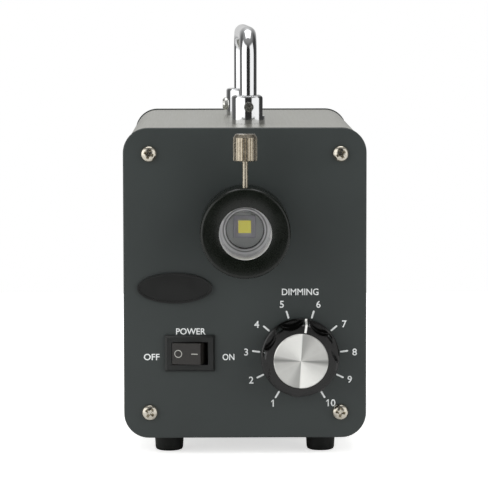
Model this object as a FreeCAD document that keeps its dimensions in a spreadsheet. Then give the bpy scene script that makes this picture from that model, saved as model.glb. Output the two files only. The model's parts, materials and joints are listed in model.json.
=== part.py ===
import FreeCAD, Part
import math
import os
import Sketcher

# A bench light source for a fibre light guide: an extruded case closed by two plates, with a
# lit port, a rocker switch and a dimmer knob in front, a fan and a mains inlet behind, and a
# folding handle on top. Lengths are in millimetres, angles in degrees. The origin is on the
# ground below the middle of the bounding box, +X to the right, the front faces -Y, +Z is up.

Vector = FreeCAD.Vector
DIAGONAL = math.sqrt(0.5)
FULL_TURN = 360

# Driving dimensions, one row of the sheet each.
SIZES = {
    # case
    "case_width": 102.0,
    "case_height": 130.8,
    "case_depth": 190.0,
    "corner_radius": 10.5,
    "plate_thickness": 2.0,
    "plate_overhang": 0.5,
    "plate_bevel": 0.4,
    "wall_thickness": 2.0,
    "case_screw_inset": 10.8,
    "case_boss_radius": 4.0,
    "case_boss_web": 3.0,
    # clearances
    "seat_gap": 0.02,
    "running_gap": 0.05,
    "moving_gap": 0.3,
    "hole_gap": 0.25,
    "overrun": 1.0,
    # pan head screws of the case plates
    "case_screw_radius": 1.6,
    "case_screw_length": 12.0,
    "case_screw_head_radius": 3.5,
    "case_screw_head_height": 2.2,
    "recess_width": 1.0,
    "recess_reach": 3.6,
    "recess_depth": 1.1,
    # feet
    "foot_height": 8.0,
    "foot_top_radius": 6.3,
    "foot_base_radius": 5.9,
    "foot_edge": 1.2,
    "foot_inset": 18.7,
    "foot_set_back": 17.0,
    "foot_recess_radius": 3.0,
    "foot_recess_depth": 4.5,
    "foot_screw_radius": 1.5,
    "foot_screw_head_radius": 2.7,
    "foot_screw_head_height": 1.8,
    "foot_nut_flats": 5.5,
    "foot_nut_height": 2.4,
    "screw_tail": 0.8,
    # folding handle
    "handle_offset": 1.0,
    "handle_skew": 1.3,
    "handle_set_back": 91.2,
    "handle_span": 87.0,
    "handle_height": 42.0,
    "handle_bend_radius": 9.0,
    "handle_rod_radius": 3.7,
    "post_radius": 7.3,
    "post_height": 12.3,
    "post_edge": 1.0,
    "post_stud_radius": 2.5,
    "pivot_height": 7.4,
    "pivot_radius": 2.0,
    "pivot_head_proud": 0.3,
    "pivot_socket_flats": 2.0,
    "pivot_socket_depth": 1.2,
    "lock_screw_height": 5.1,
    "lock_screw_radius": 1.4,
    "lock_head_radius": 3.0,
    "lock_head_height": 2.4,
    "lock_spot_depth": 0.7,
    "post_nut_flats": 8.0,
    "post_nut_height": 3.2,
    "post_washer_radius": 5.5,
    "post_washer_thickness": 1.0,
    # light port
    "port_height": 88.3,
    "port_reach": 23.0,
    "collar_radius": 18.75,
    "collar_edge": 1.3,
    "sleeve_radius": 11.7,
    "sleeve_bore_radius": 10.8,
    "sleeve_recess": 0.4,
    "sleeve_lip_radius": 7.9,
    "sleeve_lip_depth": 19.0,
    "sleeve_lip_thickness": 2.4,
    "sleeve_flange_radius": 22.0,
    "sleeve_flange_thickness": 3.0,
    "collar_screw_circle": 15.2,
    "collar_screw_radius": 1.5,
    "collar_screw_length": 12.0,
    "collar_screw_head_radius": 2.7,
    "collar_screw_head_height": 2.0,
    "lens_radius": 9.1,
    "lens_rim_thickness": 2.2,
    "lens_rim_width": 1.4,
    "lens_crown": 2.0,
    "lens_ring_width": 1.6,
    "lens_ring_thickness": 1.5,
    "spanner_notch": 1.0,
    # thumb screw
    "thumb_set_forward": 16.5,
    "thumb_rod_radius": 1.2,
    "thumb_rod_shown": 10.85,
    "thumb_head_radius": 4.95,
    "thumb_head_height": 11.1,
    "thumb_head_crown": 1.4,
    "thumb_head_crown_inset": 0.9,
    "knurl_depth": 0.35,
    "tip_radius": 1.1,
    "tip_length": 1.0,
    "tip_stem_radius": 0.5,
    "tip_stem_length": 1.2,
    "tip_set_back": 0.3,
    # lamp and heat sink
    "spacer_length": 7.0,
    "spacer_flats": 5.5,
    "spacer_circle": 18.0,
    "sink_screw_radius": 1.5,
    "sink_screw_head_radius": 2.8,
    "sink_screw_head_height": 1.4,
    "sink_width": 50.0,
    "sink_base_thickness": 5.0,
    "sink_fin_length": 25.0,
    "sink_fin_thickness": 1.6,
    "led_board_flats": 20.0,
    "led_board_thickness": 1.6,
    "led_package_width": 7.0,
    "led_package_height": 0.8,
    "led_chip_width": 4.0,
    "led_chip_height": 0.3,
    # badge
    "badge_inset": 21.5,
    "badge_height": 63.5,
    "badge_half_length": 15.75,
    "badge_half_width": 6.4,
    "badge_thickness": 1.3,
    "badge_rim": 0.9,
    "badge_recess": 0.35,
    # rocker switch
    "rocker_inset": 27.8,
    "rocker_height": 36.05,
    "bezel_width": 21.0,
    "bezel_height": 15.2,
    "bezel_thickness": 2.0,
    "bezel_bevel": 0.8,
    "switch_width": 19.0,
    "switch_height": 13.0,
    "switch_depth": 14.0,
    "switch_mouth_width": 15.3,
    "switch_mouth_height": 9.6,
    "switch_mouth_depth": 12.0,
    "rocker_pivot_depth": 6.7,
    "rocker_throw": 10.5,
    "rocker_face_reach": 8.2,
    "rocker_face_width": 12.1,
    "rocker_waist_width": 14.6,
    "rocker_waist_reach": 0.5,
    "rocker_foot_width": 8.0,
    "rocker_foot_reach": 2.5,
    "rocker_body_height": 9.1,
    "rocker_edge_radius": 0.3,
    "trunnion_radius": 1.0,
    "trunnion_length": 1.0,
    "snap_width": 4.0,
    "snap_length": 5.0,
    "snap_rise": 0.7,
    "blade_width": 4.8,
    "blade_thickness": 0.8,
    "blade_length": 7.5,
    "blade_spacing": 10.0,
    # dimmer knob and potentiometer
    "knob_inset": 27.85,
    "knob_height": 34.3,
    "knob_lift": 0.5,
    "knob_face_reach": 14.1,
    "knob_skirt_radius": 16.5,
    "knob_skirt_height": 1.8,
    "knob_step": 0.5,
    "knob_base_radius": 15.9,
    "knob_top_radius": 15.3,
    "knob_bevel": 0.7,
    "knob_cavity_radius": 11.8,
    "knob_cavity_depth": 8.0,
    "knob_boss_radius": 6.2,
    "knob_boss_lift": 4.4,
    "knob_roof": 0.5,
    "scallop_radius": 8.0,
    "scallop_depth": 2.0,
    "pointer_angle": 81.3,
    "pointer_width": 0.9,
    "pointer_depth": 0.5,
    "cap_radius": 11.4,
    "cap_thickness": 1.3,
    "cap_recess": 0.9,
    "cap_bevel": 0.25,
    "set_screw_radius": 1.5,
    "set_screw_height": 6.6,
    "shaft_radius": 3.0,
    "shaft_length": 12.4,
    "shaft_flat": 1.0,
    "shaft_flat_length": 7.0,
    "pot_radius": 8.2,
    "pot_depth": 9.0,
    "pot_bushing_radius": 3.5,
    "pot_bushing_length": 4.0,
    "pot_bore_depth": 8.0,
    "pot_wafer_width": 12.0,
    "pot_wafer_drop": 10.5,
    "pot_wafer_thickness": 2.0,
    "pot_wafer_set_back": 4.0,
    "pot_lug_width": 1.4,
    "pot_lug_thickness": 0.5,
    "pot_lug_length": 4.5,
    "pot_lug_spacing": 4.0,
    "pot_nut_flats": 10.0,
    "pot_nut_height": 2.2,
    "pot_washer_radius": 5.8,
    "pot_washer_thickness": 0.5,
    # fan
    "fan_width": 60.0,
    "fan_corner_radius": 4.0,
    "fan_thickness": 15.0,
    "fan_bore_radius": 28.4,
    "fan_window_radius": 28.0,
    "fan_hole_spacing": 50.0,
    "fan_hole_radius": 2.15,
    "fan_hub_radius": 13.0,
    "fan_hub_thickness": 2.6,
    "fan_strut_width": 3.0,
    "fan_core_radius": 9.5,
    "fan_core_length": 6.5,
    "rotor_radius": 14.0,
    "rotor_wall": 2.0,
    "rotor_length": 10.2,
    "rotor_gap": 0.8,
    "rotor_shaft_radius": 1.5,
    "blade_tip_radius": 27.0,
    "blade_root_chord": 10.5,
    "blade_tip_chord": 14.0,
    "blade_pitch": 34.0,
    "blade_skin": 1.2,
    "guard_wire": 1.6,
    "guard_inner_radius": 8.0,
    "guard_outer_radius": 27.0,
    "guard_eye_radius": 3.9,
    "fan_screw_radius": 1.9,
    "fan_screw_head_radius": 3.7,
    "fan_screw_head_height": 2.4,
    "fan_nut_flats": 7.0,
    "fan_nut_height": 3.0,
    # mains inlet and fuse drawer
    "inlet_height": 31.0,
    "inlet_flange_width": 50.0,
    "inlet_flange_height": 33.0,
    "inlet_flange_radius": 3.0,
    "inlet_flange_thickness": 2.0,
    "inlet_body_width": 28.0,
    "inlet_body_height": 31.0,
    "inlet_body_depth": 24.0,
    "socket_width": 24.4,
    "socket_height": 16.6,
    "socket_corner": 4.5,
    "socket_depth": 15.5,
    "socket_rise": 6.0,
    "pin_thickness": 2.0,
    "pin_width": 4.0,
    "pin_spacing": 14.0,
    "pin_rise": 4.0,
    "pin_set_back": 4.5,
    "pin_tail": 8.0,
    "drawer_width": 26.1,
    "drawer_height": 7.1,
    "drawer_depth": 21.0,
    "drawer_drop": 10.5,
    "drawer_clearance": 0.15,
    "drawer_tab_width": 10.0,
    "drawer_tab_height": 1.6,
    "drawer_tab_proud": 0.9,
    "fuse_radius": 2.6,
    "fuse_length": 20.0,
    "fuse_set_back": 8.0,
    "fuse_gap": 0.25,
    "inlet_screw_spacing": 40.0,
    "inlet_screw_radius": 1.5,
    "inlet_screw_head_radius": 2.7,
    "inlet_screw_head_height": 1.7,
    # driver board
    "board_thickness": 1.6,
    "board_length": 90.0,
    "board_set_back": 36.0,
    "board_lift": 13.0,
    "board_side_gap": 0.3,
    "board_slot_gap": 0.1,
    "guide_thickness": 1.2,
    "guide_reach": 2.5,
    "transformer_x": -14.0,
    "transformer_set_back": 30.0,
    "core_width": 30.0,
    "core_depth": 14.0,
    "core_height": 24.0,
    "core_leg": 8.0,
    "core_yoke": 5.0,
    "coil_overhang": 5.0,
    "coil_gap": 0.3,
    "capacitor_x": 22.0,
    "capacitor_radius": 6.3,
    "capacitor_height": 25.0,
    "capacitor_pitch": 18.0,
    "capacitor_set_back": 22.0,
    "terminal_block_width": 15.0,
    "terminal_block_depth": 8.0,
    "terminal_block_height": 10.0,
    "terminal_block_inset": 7.0,
    "terminal_block_pitch": 40.0,
}

# Counts and shares, which no length drives.
KNURL_COUNT = 28
SCALLOP_COUNT = 8
FIN_COUNT = 9
BLADE_COUNT = 7
GUARD_RING_COUNT = 3
THREE = 3
HEX_SIDES = 6
BORE_SIDES = 8
HEAD_SIDES = 16
RING_SIDES = 24
LENS_STEPS = 3
KNURL_SHARE = 4 / 5
HEAD_BEVEL = 2 / 5
ROUND_SHARE = 3 / 10

doc = FreeCAD.newDocument("fiber_optic_illuminator")
sheet = doc.addObject("Spreadsheet::Sheet", "Sizes")
for row, (alias, number) in enumerate(SIZES.items(), 1):
    sheet.set(f"A{row}", alias)
    sheet.set(f"B{row}", str(number))
    sheet.setAlias(f"B{row}", alias)
doc.recompute()


class Size:
    """A length of the sheet, or a sum of such lengths: its number, and the text that binds it."""

    def __init__(self, value, text):
        self.value = value
        self.text = text

    def __add__(self, other):
        other = as_size(other)
        return Size(self.value + other.value, f"({self.text} + {other.text})")

    def __sub__(self, other):
        other = as_size(other)
        return Size(self.value - other.value, f"({self.text} - {other.text})")

    def __rsub__(self, other):
        return as_size(other) - self

    def __mul__(self, other):
        other = as_size(other)
        return Size(self.value * other.value, f"({self.text} * {other.text})")

    def __truediv__(self, other):
        other = as_size(other)
        return Size(self.value / other.value, f"({self.text} / {other.text})")

    def __neg__(self):
        return Size(-self.value, f"(-1 * {self.text})")

    __radd__ = __add__
    __rmul__ = __mul__

    def sine(self):
        return Size(math.sin(math.radians(self.value)), f"sin({self.text} * 1deg)")

    def cosine(self):
        return Size(math.cos(math.radians(self.value)), f"cos({self.text} * 1deg)")


def as_size(amount):
    if isinstance(amount, Size):
        return amount
    return Size(float(amount), f"({float(amount)!r})")


class Sheet:
    """Every driving dimension by name, read back from the sheet."""

    def __getattr__(self, alias):
        return Size(float(sheet.get(alias)), f"Sizes.{alias}")


d = Sheet()

# Places worked out from the driving dimensions.
rear_reach = d.guard_wire + d.fan_screw_head_height
front_y = (d.port_reach - d.case_depth - rear_reach) / 2
back_y = front_y + d.case_depth
plate_base = d.foot_height - d.plate_overhang
mid_z = plate_base + d.case_height / 2
shell_front_y = front_y + d.plate_thickness
shell_width = d.case_width - 2 * d.plate_overhang
shell_height = d.case_height - 2 * d.plate_overhang
shell_length = d.case_depth - 2 * d.plate_thickness
shell_radius = d.corner_radius - d.plate_overhang
shell_top = d.foot_height + shell_height
floor_z = d.foot_height + d.wall_thickness
half_inner_width = shell_width / 2 - d.wall_thickness
screw_x = d.case_width / 2 - d.case_screw_inset
screw_z = d.case_height / 2 - d.case_screw_inset
port_z = plate_base + d.port_height
rocker_z = plate_base + d.rocker_height
knob_z = plate_base + d.knob_height
badge_z = plate_base + d.badge_height
inlet_z = plate_base + d.inlet_height
badge_x = d.badge_inset - d.case_width / 2
rocker_x = d.rocker_inset - d.case_width / 2
knob_x = d.case_width / 2 - d.knob_inset
foot_spread = d.case_width - 2 * d.foot_inset

# How a piece's own z axis lies in the part: up, out of the front, or out of the back.
FACING = {
    "up": FreeCAD.Rotation(),
    "front": FreeCAD.Rotation(Vector(1, 0, 0), 90),
    "back": FreeCAD.Rotation(Vector(0, 0, 1), 180) * FreeCAD.Rotation(Vector(1, 0, 0), 90),
}
SUBPARTS = []


def bind(item, prop, amount):
    """Ties a property to the sheet; a plain zero leaves it alone."""
    if isinstance(amount, Size):
        item.setExpression(prop, amount.text)


def put(item, x=0, y=0, z=0, facing="up"):
    item.Placement = FreeCAD.Placement(Vector(0, 0, 0), FACING[facing])
    bind(item, ".Placement.Base.x", x)
    bind(item, ".Placement.Base.y", y)
    bind(item, ".Placement.Base.z", z)


def new_body(label, x=0, y=0, z=0, facing="up"):
    body = doc.addObject("PartDesign::Body", label)
    body.Label = label
    put(body, x, y, z, facing)
    SUBPARTS.append(body)
    return body


def origin_item(body, role):
    for feature in body.Origin.OriginFeatures:
        if feature.Role == role:
            return feature
    raise ValueError(role)


def new_sketch(body, level=0, plane="XY_Plane"):
    sketch = body.newObject("Sketcher::SketchObject", body.Label + "_sketch")
    sketch.AttachmentSupport = [(origin_item(body, plane), "")]
    sketch.MapMode = "FlatFace"
    bind(sketch, ".AttachmentOffset.Base.z", level)
    return sketch


def number_of(amount):
    return as_size(amount).value


def constrain(sketch, rows):
    """Adds constraints in one go, each given with the size that drives it, or with None."""
    first = sketch.ConstraintCount
    sketch.addConstraint([constraint for constraint, amount in rows])
    for index, (constraint, amount) in enumerate(rows, first):
        if amount is not None:
            sketch.setExpression(f"Constraints[{index}]", amount.text)


def pinned(curve, end, x, y):
    """What fixes one end of a curve at a place given from the sketch's origin."""
    rows = []
    for kind, amount, axis in (("DistanceX", x, -2), ("DistanceY", y, -1)):
        if isinstance(amount, Size):
            rows.append((Sketcher.Constraint(kind, -1, 1, curve, end, amount.value), amount))
        else:
            rows.append((Sketcher.Constraint("PointOnObject", curve, end, axis), None))
    return rows


def add_circle(sketch, radius, x=0, y=0):
    centre = Vector(number_of(x), number_of(y), 0)
    curve = sketch.addGeometry(Part.Circle(centre, Vector(0, 0, 1), radius.value), False)
    rows = [(Sketcher.Constraint("Radius", curve, radius.value), radius)]
    if isinstance(x, Size) or isinstance(y, Size):
        rows += pinned(curve, 3, x, y)
    else:
        rows.append((Sketcher.Constraint("Coincident", curve, 3, -1, 1), None))
    constrain(sketch, rows)


def arc_between(start, end, radius, side):
    """An arc from start to end whose centre lies on the given side of the chord, 1 for left."""
    chord = end - start
    middle = (start + end) * 0.5
    lift = math.sqrt(max(radius ** 2 - (chord.Length / 2) ** 2, 0))
    left = Vector(-chord.y, chord.x, 0).normalize()
    centre = middle + left * (lift * side)
    first = math.atan2(start.y - centre.y, start.x - centre.x)
    last = math.atan2(end.y - centre.y, end.x - centre.x)
    circle = Part.Circle(centre, Vector(0, 0, 1), radius)
    if side > 0:
        return Part.ArcOfCircle(circle, first, last), (1, 2)
    return Part.ArcOfCircle(circle, last, first), (2, 1)


def add_path(sketch, points, arcs=None, closed=True):
    """Lines through the points; arcs gives radius and side for the runs that are round."""
    arcs = arcs or {}
    places = [Vector(number_of(x), number_of(y), 0) for x, y in points]
    runs = len(points) if closed else len(points) - 1
    curves = []
    orders = []
    for index in range(runs):
        start = places[index]
        end = places[(index + 1) % len(points)]
        if index in arcs:
            radius, side = arcs[index]
            curve, order = arc_between(start, end, radius.value, side)
        else:
            curve = Part.LineSegment(start, end)
            order = (1, 2)
        curves.append(curve)
        orders.append(order)
    ends = list(zip(sketch.addGeometry(curves, False), orders))
    rows = []
    for index, (curve, order) in enumerate(ends):
        if index + 1 < runs or closed:
            following, next_order = ends[(index + 1) % runs]
            meeting = Sketcher.Constraint("Coincident", curve, order[1], following, next_order[0])
            rows.append((meeting, None))
        rows += pinned(curve, order[0], *points[index])
        if index in arcs:
            radius = arcs[index][0]
            rows.append((Sketcher.Constraint("Radius", curve, radius.value), radius))
    if not closed:
        curve, order = ends[-1]
        rows += pinned(curve, order[1], *points[-1])
    constrain(sketch, rows)


def add_box(sketch, width, height, x=0, y=0):
    left = x - width / 2
    right = x + width / 2
    low = y - height / 2
    high = y + height / 2
    add_path(sketch, [(left, low), (right, low), (right, high), (left, high)])


def add_rounded(sketch, width, height, radius, x=0, y=0):
    """A rectangle about (x, y) with its four corners rounded."""
    corners = []
    arcs = {}
    for across, up in ((1, -1), (1, 1), (-1, 1), (-1, -1)):
        edge_x = x + across * width / 2
        edge_y = y + up * height / 2
        on_side = (edge_x, edge_y - up * radius)
        on_end = (edge_x - across * radius, edge_y)
        arcs[len(corners)] = (radius, 1)
        corners.extend([on_end, on_side] if across * up < 0 else [on_side, on_end])
    add_path(sketch, corners, arcs)


def add_polygon(sketch, sides, flats, x=0, y=0):
    """A regular polygon, sized over its flats."""
    reach = flats / (2 * math.cos(math.pi / sides))
    points = []
    for index in range(sides):
        angle = 2 * math.pi * (index + 0.5) / sides
        points.append((x + reach * math.cos(angle), y + reach * math.sin(angle)))
    add_path(sketch, points)


def add_disc(sketch, radius, sides, x=0, y=0):
    """A small round form of few faces: a polygon inside its circle."""
    add_polygon(sketch, sides, 2 * radius * math.cos(math.pi / sides), x, y)


def add_bore(sketch, radius, x=0, y=0):
    """A hole of few faces, hidden by what fills it: an octagon outside its circle."""
    add_polygon(sketch, BORE_SIDES, 2 * radius, x, y)


def finish_feature(body, feature, removes=False, before=None):
    doc.recompute()
    body.Tip = feature
    if removes and feature.Shape.Volume >= before:
        raise ValueError(f"{feature.Name} removes nothing")
    return feature


def pad(body, sketch, length, down=False, middle=False):
    feature = body.newObject("PartDesign::Pad", body.Label + "_pad")
    feature.Profile = sketch
    bind(feature, "Length", length)
    feature.Reversed = down
    feature.Midplane = middle
    return finish_feature(body, feature)


def cut(body, sketch, depth, up=False, middle=False):
    """Cuts from the sketch against its normal, or along it with up."""
    before = body.Shape.Volume
    feature = body.newObject("PartDesign::Pocket", body.Label + "_cut")
    feature.Profile = sketch
    bind(feature, "Length", depth)
    feature.Reversed = up
    feature.Midplane = middle
    return finish_feature(body, feature, True, before)


def revolve(body, points, arcs=None):
    """Turns an outline of (radius, height) points about the piece's own z axis."""
    sketch = new_sketch(body, plane="XZ_Plane")
    add_path(sketch, points, arcs)
    feature = body.newObject("PartDesign::Revolution", body.Label + "_turned")
    feature.Profile = sketch
    feature.ReferenceAxis = (sketch, ["V_Axis"])
    feature.Angle = FULL_TURN
    return finish_feature(body, feature)


def edge_names(shape, wanted):
    return [f"Edge{number}" for number, edge in enumerate(shape.Edges, 1) if wanted(edge)]


def dress(body, kind, prop, amount, wanted):
    base = body.Tip
    names = edge_names(base.Shape, wanted)
    if not names:
        raise ValueError(f"{body.Label}: no edge to dress")
    feature = body.newObject(kind, body.Label + "_edge")
    feature.Base = (base, names)
    bind(feature, prop, amount)
    return finish_feature(body, feature)


def fillet(body, radius, wanted):
    return dress(body, "PartDesign::Fillet", "Radius", radius, wanted)


def chamfer(body, size, wanted):
    return dress(body, "PartDesign::Chamfer", "Size", size, wanted)


def flat_at(level, least_x, least_y):
    """Picks the edges at that height that lie on the outline of a plate."""

    def wanted(edge):
        box = edge.BoundBox
        flat = box.ZLength < NEAR and abs(box.ZMax - level) < NEAR
        far_x = min(abs(box.XMax), abs(box.XMin)) > least_x
        far_y = min(abs(box.YMax), abs(box.YMin)) > least_y
        return flat and (far_x or far_y)

    return wanted


NEAR = 0.001


def row_pattern(body, width, height=None):
    """Repeats the whole piece once across, and once up where a height is given."""
    feature = body.newObject("PartDesign::LinearPattern", body.Label + "_row")
    feature.TransformMode = "Whole shape"
    feature.Direction = (origin_item(body, "X_Axis"), [""])
    bind(feature, "Length", width)
    feature.Occurrences = 2
    if height is not None:
        feature.Direction2 = (origin_item(body, "Y_Axis"), [""])
        bind(feature, "Length2", height)
        feature.Occurrences2 = 2
    return finish_feature(body, feature)


def round_pattern(body, count, originals=None):
    """Repeats features, or the whole piece, evenly about the piece's own z axis."""
    feature = body.newObject("PartDesign::PolarPattern", body.Label + "_ring")
    if originals:
        feature.Originals = originals
    else:
        feature.TransformMode = "Whole shape"
    feature.Axis = (origin_item(body, "Z_Axis"), [""])
    feature.Angle = FULL_TURN
    feature.Occurrences = count
    return finish_feature(body, feature)


# Fasteners

def plain_screw(body, x, y, head_radius, head_height, radius, length, level=0):
    """A screw with its head above the level at (x, y) and its shank below."""
    head = new_sketch(body, level)
    add_disc(head, head_radius, HEAD_SIDES, x, y)
    pad(body, head, head_height)
    shank = new_sketch(body, level)
    add_disc(shank, radius, BORE_SIDES, x, y)
    pad(body, shank, length, down=True)


def pan_screw(body, x, y, head_radius, head_height, radius, length, crossed=True):
    """A screw whose head is bevelled and, where crossed, has a cross recess."""
    plain_screw(body, x, y, head_radius, head_height, radius, length)
    rim = number_of(head_height)
    chamfer(body, head_height * HEAD_BEVEL, lambda edge: edge.BoundBox.ZMin > rim - NEAR)
    if crossed:
        half = d.recess_width / 2
        reach = d.recess_reach / 2
        cross = new_sketch(body, head_height)
        turns = ((1, 1), (-1, 1), (-1, -1), (1, -1))
        points = []
        for index, (across, up) in enumerate(turns):
            first = (x + across * half, y + up * reach)
            inner = (x + across * half, y + up * half)
            last = (x + across * reach, y + up * half)
            points.extend([last, inner, first] if index % 2 == 0 else [first, inner, last])
        add_path(cross, points)
        cut(body, cross, d.recess_depth)


def nut(body, flats, height, radius, x=0, y=0, level=0, up=True):
    sketch = new_sketch(body, level)
    add_polygon(sketch, HEX_SIDES, flats, x, y)
    add_bore(sketch, radius + d.seat_gap, x, y)
    pad(body, sketch, height, down=not up)


# Case

def build_housing_shell():
    """The extruded case: a rounded tube with a screw boss in each corner and board guides."""
    body = new_body("housing_shell", 0, shell_front_y, mid_z, "front")
    outline = new_sketch(body)
    add_rounded(outline, shell_width, shell_height, shell_radius)
    add_rounded(
        outline,
        shell_width - 2 * d.wall_thickness,
        shell_height - 2 * d.wall_thickness,
        shell_radius - d.wall_thickness,
    )
    pad(body, outline, shell_length, down=True)
    web_end = shell_radius - d.wall_thickness / 2
    half_web = d.case_boss_web / 2
    for across in (-1, 1):
        for up in (-1, 1):
            boss = new_sketch(body)
            add_disc(boss, d.case_boss_radius, HEAD_SIDES, across * screw_x, up * screw_z)
            pad(body, boss, shell_length, down=True)
            web = new_sketch(body)
            corner = []
            for along, aside in ((0, -1), (1, -1), (1, 1), (0, 1)):
                run_x = along * web_end * DIAGONAL - aside * half_web * DIAGONAL
                run_y = along * web_end * DIAGONAL + aside * half_web * DIAGONAL
                corner.append((across * (screw_x + run_x), up * (screw_z + run_y)))
            add_path(web, corner)
            pad(body, web, shell_length, down=True)
    bores = new_sketch(body)
    for across in (-1, 1):
        for up in (-1, 1):
            add_bore(bores, d.case_screw_radius + d.seat_gap, across * screw_x, up * screw_z)
    cut(body, bores, shell_length)
    board_y = floor_z + d.board_lift - mid_z
    for across in (-1, 1):
        for low in (-d.board_slot_gap - d.guide_thickness, d.board_thickness + d.board_slot_gap):
            rail = new_sketch(body)
            wall_x = across * (half_inner_width + d.wall_thickness / 2)
            edge_x = across * (half_inner_width - d.guide_reach)
            base = board_y + low
            top = base + d.guide_thickness
            add_path(rail, [(wall_x, base), (edge_x, base), (edge_x, top), (wall_x, top)])
            pad(body, rail, shell_length, down=True)
    studs = new_sketch(body, plane="XZ_Plane")
    for sign in (-1, 1):
        stud_x, stud_y = post_place(sign)
        add_bore(studs, d.post_stud_radius + d.hole_gap, stud_x, shell_front_y - stud_y)
    cut(body, studs, d.case_height)
    feet = new_sketch(body, plane="XZ_Plane")
    for across in (-1, 1):
        for depth in foot_depths:
            level = d.plate_thickness - depth
            add_bore(feet, d.foot_screw_radius + d.hole_gap, across * foot_spread / 2, level)
    cut(body, feet, d.case_height, up=True)


def plate_blank(body):
    sketch = new_sketch(body)
    add_rounded(sketch, d.case_width, d.case_height, d.corner_radius)
    for across in (-1, 1):
        for up in (-1, 1):
            add_bore(sketch, d.case_screw_radius + d.hole_gap, across * screw_x, up * screw_z)
    return sketch


def finish_plate(body, sketch):
    pad(body, sketch, d.plate_thickness, down=True)
    inside_x = number_of(d.case_width / 2 - d.corner_radius) - NEAR
    inside_y = number_of(d.case_height / 2 - d.corner_radius) - NEAR
    chamfer(body, d.plate_bevel, flat_at(0, inside_x, inside_y))


def build_front_panel():
    body = new_body("front_panel", 0, front_y, mid_z, "front")
    sketch = plate_blank(body)
    port_y = port_z - mid_z
    add_circle(sketch, d.sleeve_radius + d.hole_gap, 0, port_y)
    for x, y in ring_places(d.collar_screw_circle, COLLAR_SCREW_ANGLES):
        add_bore(sketch, d.collar_screw_radius + d.hole_gap, x, port_y + y)
    add_box(
        sketch,
        d.switch_width + d.hole_gap,
        d.switch_height + d.hole_gap,
        rocker_x,
        rocker_z - mid_z,
    )
    add_bore(sketch, d.pot_bushing_radius + d.hole_gap, knob_x, knob_z - mid_z)
    finish_plate(body, sketch)


def build_rear_panel():
    body = new_body("rear_panel", 0, back_y, mid_z, "back")
    sketch = plate_blank(body)
    fan_y = port_z - mid_z
    add_circle(sketch, d.fan_window_radius, 0, fan_y)
    half = d.fan_hole_spacing / 2
    for across in (-1, 1):
        for up in (-1, 1):
            add_bore(sketch, d.fan_hole_radius, across * half, fan_y + up * half)
        add_bore(
            sketch,
            d.inlet_screw_radius + d.seat_gap,
            across * d.inlet_screw_spacing / 2,
            inlet_z - mid_z,
        )
    add_box(
        sketch,
        d.inlet_body_width + d.hole_gap,
        d.inlet_body_height + d.hole_gap,
        0,
        inlet_z - mid_z,
    )
    finish_plate(body, sketch)


def build_panel_screws():
    for label, y, facing in (
        ("front_panel_screws", front_y, "front"),
        ("rear_panel_screws", back_y, "back"),
    ):
        body = new_body(label, 0, y, mid_z, facing)
        pan_screw(
            body,
            -screw_x,
            -screw_z,
            d.case_screw_head_radius,
            d.case_screw_head_height,
            d.case_screw_radius,
            d.case_screw_length,
        )
        row_pattern(body, 2 * screw_x, 2 * screw_z)


# Feet

foot_depths = (d.foot_set_back, d.case_depth - d.foot_set_back)


def build_feet():
    spots = (
        ("foot_front_left", -1, foot_depths[0]),
        ("foot_front_right", 1, foot_depths[0]),
        ("foot_rear_left", -1, foot_depths[1]),
        ("foot_rear_right", 1, foot_depths[1]),
    )
    for label, across, depth in spots:
        body = new_body(label, across * foot_spread / 2, front_y + depth)
        edge = d.foot_edge
        revolve(
            body,
            [
                (0, 0),
                (d.foot_base_radius - edge, 0),
                (d.foot_base_radius - edge * ROUND_SHARE, edge * ROUND_SHARE),
                (d.foot_base_radius, edge),
                (d.foot_top_radius, d.foot_height),
                (0, d.foot_height),
            ],
        )
        recess = new_sketch(body)
        add_disc(recess, d.foot_recess_radius, HEAD_SIDES)
        cut(body, recess, d.foot_recess_depth, up=True)
        hole = new_sketch(body, d.foot_recess_depth)
        add_bore(hole, d.foot_screw_radius + d.hole_gap)
        cut(body, hole, d.foot_height - d.foot_recess_depth, up=True)


def build_foot_fasteners():
    near_y = front_y + foot_depths[0]
    left_x = -foot_spread / 2
    length = foot_depths[1] - foot_depths[0]
    reach = d.wall_thickness + d.foot_nut_height + d.screw_tail
    screws = new_body("foot_screws", left_x, near_y, d.foot_recess_depth)
    head = new_sketch(screws)
    add_disc(head, d.foot_screw_head_radius, HEAD_SIDES)
    pad(screws, head, d.foot_screw_head_height, down=True)
    shank = new_sketch(screws)
    add_disc(shank, d.foot_screw_radius, BORE_SIDES)
    pad(screws, shank, d.foot_height - d.foot_recess_depth + reach)
    row_pattern(screws, foot_spread, length)
    nuts = new_body("foot_nuts", left_x, near_y, floor_z)
    nut(nuts, d.foot_nut_flats, d.foot_nut_height, d.foot_screw_radius)
    row_pattern(nuts, foot_spread, length)


# Handle

handle_y = front_y + d.handle_set_back
slot_half = d.handle_rod_radius + d.moving_gap


def post_place(sign):
    """Centre of a handle post: sign is -1 for the front one and 1 for the rear one."""
    half = d.handle_span / 2
    x = d.handle_offset - sign * half * d.handle_skew.sine()
    y = handle_y + sign * half * d.handle_skew.cosine()
    return x, y


def skew(item):
    """Turns a piece with the handle, whose line is a little askew on the case."""
    place = item.Placement
    place.Rotation = FreeCAD.Rotation(Vector(0, 0, 1), d.handle_skew.value)
    item.Placement = place
    bind(item, ".Placement.Rotation.Angle", d.handle_skew)


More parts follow.
